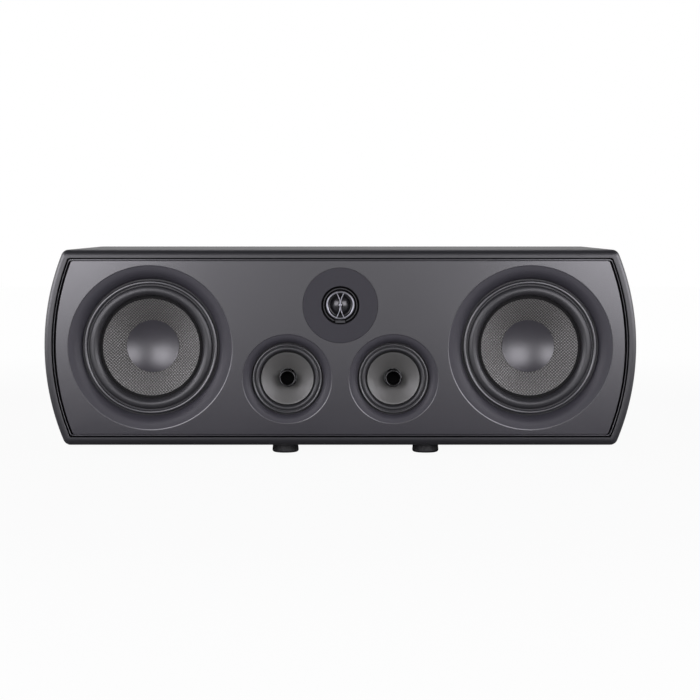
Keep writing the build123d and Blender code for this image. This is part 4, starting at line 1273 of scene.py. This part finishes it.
makeTerminalScrews(screwSteel)
dress(fibreboard, "chamber_partitions")
dress(stainedBoard, "baffle_board")
dress(screwSteel, "driver_screws")
dress(ferrite, "woofer_magnets", "mid_magnets", "tweeter_magnet")
dress(yokeSteel, "woofer_yokes", "mid_yokes", "tweeter_yoke")
dress(boardLaminate, "crossover_board")
dress(copperWire, "crossover_inductors")
dress(filmWrap, "crossover_capacitors")
dress(ceramicCase, "crossover_resistors")
dress(foamFinish, "damping_foam")
dress(giltBrass, "post_studs", "red_post_washer", "black_post_washer")
for side in ("left", "right"):
    dress(castAlloy, side + "_woofer_basket", side + "_mid_basket")
    dress(spiderCloth, side + "_woofer_spider", side + "_mid_spider")
    dress(wooferCoil, side + "_woofer_voice_coil")
    dress(midCoil, side + "_mid_voice_coil")
print("inside: finishes given")

stage = {"floor": 12.0, "white": "#ffffff", "paper": "#8c8c8c", "fade": (0.8, 1.7), "glow": (0.95, 0.99)}


def mirrorRays(tree, path):
    return addMath(tree, "MAXIMUM", path["Is Glossy Ray"], path["Is Transmission Ray"])


def makeStage():  # paper that keeps a shadow near the object and is all white further off
    bpy.ops.mesh.primitive_plane_add(size=stage["floor"], location=(0, 0, 0))
    floor = bpy.context.object
    floor.name = "floor"
    paper = bpy.data.materials.new("whitePaper")
    paper.use_nodes = True
    tree = paper.node_tree
    tree.nodes.clear()
    where = addNode(tree, "TexCoord").outputs["Object"]
    away = addNode(tree, "VectorMath", {"operation": "LENGTH"}, {0: where}).outputs["Value"]
    far = addRange(tree, away, stage["fade"])
    path = addNode(tree, "LightPath").outputs
    direct = addMath(tree, "MULTIPLY", path["Is Camera Ray"], addRange(tree, far, results=stage["glow"]))
    mirror = addMath(tree, "MULTIPLY", mirrorRays(tree, path), far)
    share = addMath(tree, "MAXIMUM", direct, mirror)
    matt = addNode(tree, "BsdfDiffuse", inputs={"Color": hexColour(stage["paper"])}).outputs[0]
    glow = addNode(tree, "Emission", inputs={"Color": hexColour(stage["white"]), "Strength": 1.0}).outputs[0]
    mix = addNode(tree, "MixShader", inputs={0: share, 1: matt, 2: glow})
    addNode(tree, "OutputMaterial", inputs={0: mix.outputs[0]})
    floor.data.materials.append(paper)


makeStage()

lamps = {
    "left": {"place": (-0.76, -1.3, 0.5), "size": (0.95, 0.8), "power": 12.0},
    "right": {"place": (0.76, -1.3, 0.5), "size": (0.95, 0.8), "power": 12.0},
    "leftEnd": {"place": (-1.5, -0.35, 0.55), "size": (0.87, 0.64), "power": 15.0},
    "rightEnd": {"place": (1.5, -0.35, 0.55), "size": (0.87, 0.64), "power": 15.0},
    "front": {"place": (0.0, -3.0, 0.5), "size": (2.0, 0.8), "power": 1.6},
    "back": {"place": (0.0, 0.9, 1.5), "size": (1.3, 0.64), "power": 3.8},
}
lampTint = "#f9f6ff"  # a little cool
lampAim = (0, -0.16, 0.14)


def makeLamps():
    for name, lamp in lamps.items():
        light = bpy.data.lights.new(name + "Softbox", "AREA")
        light.shape = "RECTANGLE"
        light.size, light.size_y = lamp["size"]
        light.energy = lamp["power"]
        light.color = hexColour(lampTint)[:3]
        box = addObject(name + "Softbox", light)
        box.location = lamp["place"]
        box.visible_camera = False
        aimAt(box, lampAim)


makeLamps()

studio = {
    "room": 0.16,
    "backdrop": (-0.1, 0.4),  # between these directions the room turns to the backdrop
    "overhead": 0.04,
    "ceiling": (0.2, 0.6),
}


def makeWorld():  # a white backdrop behind the object, a dim room in front of it and a dark ceiling
    world = bpy.data.worlds.new("studio")
    bpy.context.scene.world = world
    world.use_nodes = True
    tree = world.node_tree
    tree.nodes.clear()
    way = addNode(tree, "TexCoord").outputs["Generated"]
    axes = addNode(tree, "SeparateXYZ", inputs={0: way}).outputs
    behind = addRange(tree, axes[1], studio["backdrop"], (studio["room"], 1.0))
    level = addRange(tree, axes[2], studio["ceiling"], (1.0, studio["overhead"]))
    path = addNode(tree, "LightPath").outputs
    mirror = addMath(tree, "MULTIPLY", mirrorRays(tree, path), level)
    direct = addMath(tree, "MAXIMUM", mirror, path["Is Camera Ray"])
    seen = addMath(tree, "MAXIMUM", addMath(tree, "MULTIPLY", behind, level), direct)
    light = addNode(tree, "Background", inputs={"Color": hexColour(stage["white"]), "Strength": seen})
    addNode(tree, "OutputWorld", inputs={0: light.outputs[0]})


makeWorld()

camera = {"aim": (0.0122, -0.16, 0.1345), "elevation": 4.0, "distance": 2.29, "frame": 0.884, "sensor": 36.0}


def makeCamera():
    lens = bpy.data.cameras.new("camera")
    lens.sensor_width = camera["sensor"]
    lens.sensor_fit = "HORIZONTAL"
    lens.lens = camera["sensor"] * camera["distance"] / camera["frame"]
    eye = addObject("camera", lens)
    tilt = math.radians(camera["elevation"])
    away = Vector((0, -math.cos(tilt), math.sin(tilt))) * camera["distance"]
    eye.location = Vector(camera["aim"]) + away
    aimAt(eye, camera["aim"])
    bpy.context.scene.camera = eye


makeCamera()
bpy.context.scene.view_settings.view_transform = "Standard"
print("stage, lamps and camera set")

bpy.context.view_layer.update()
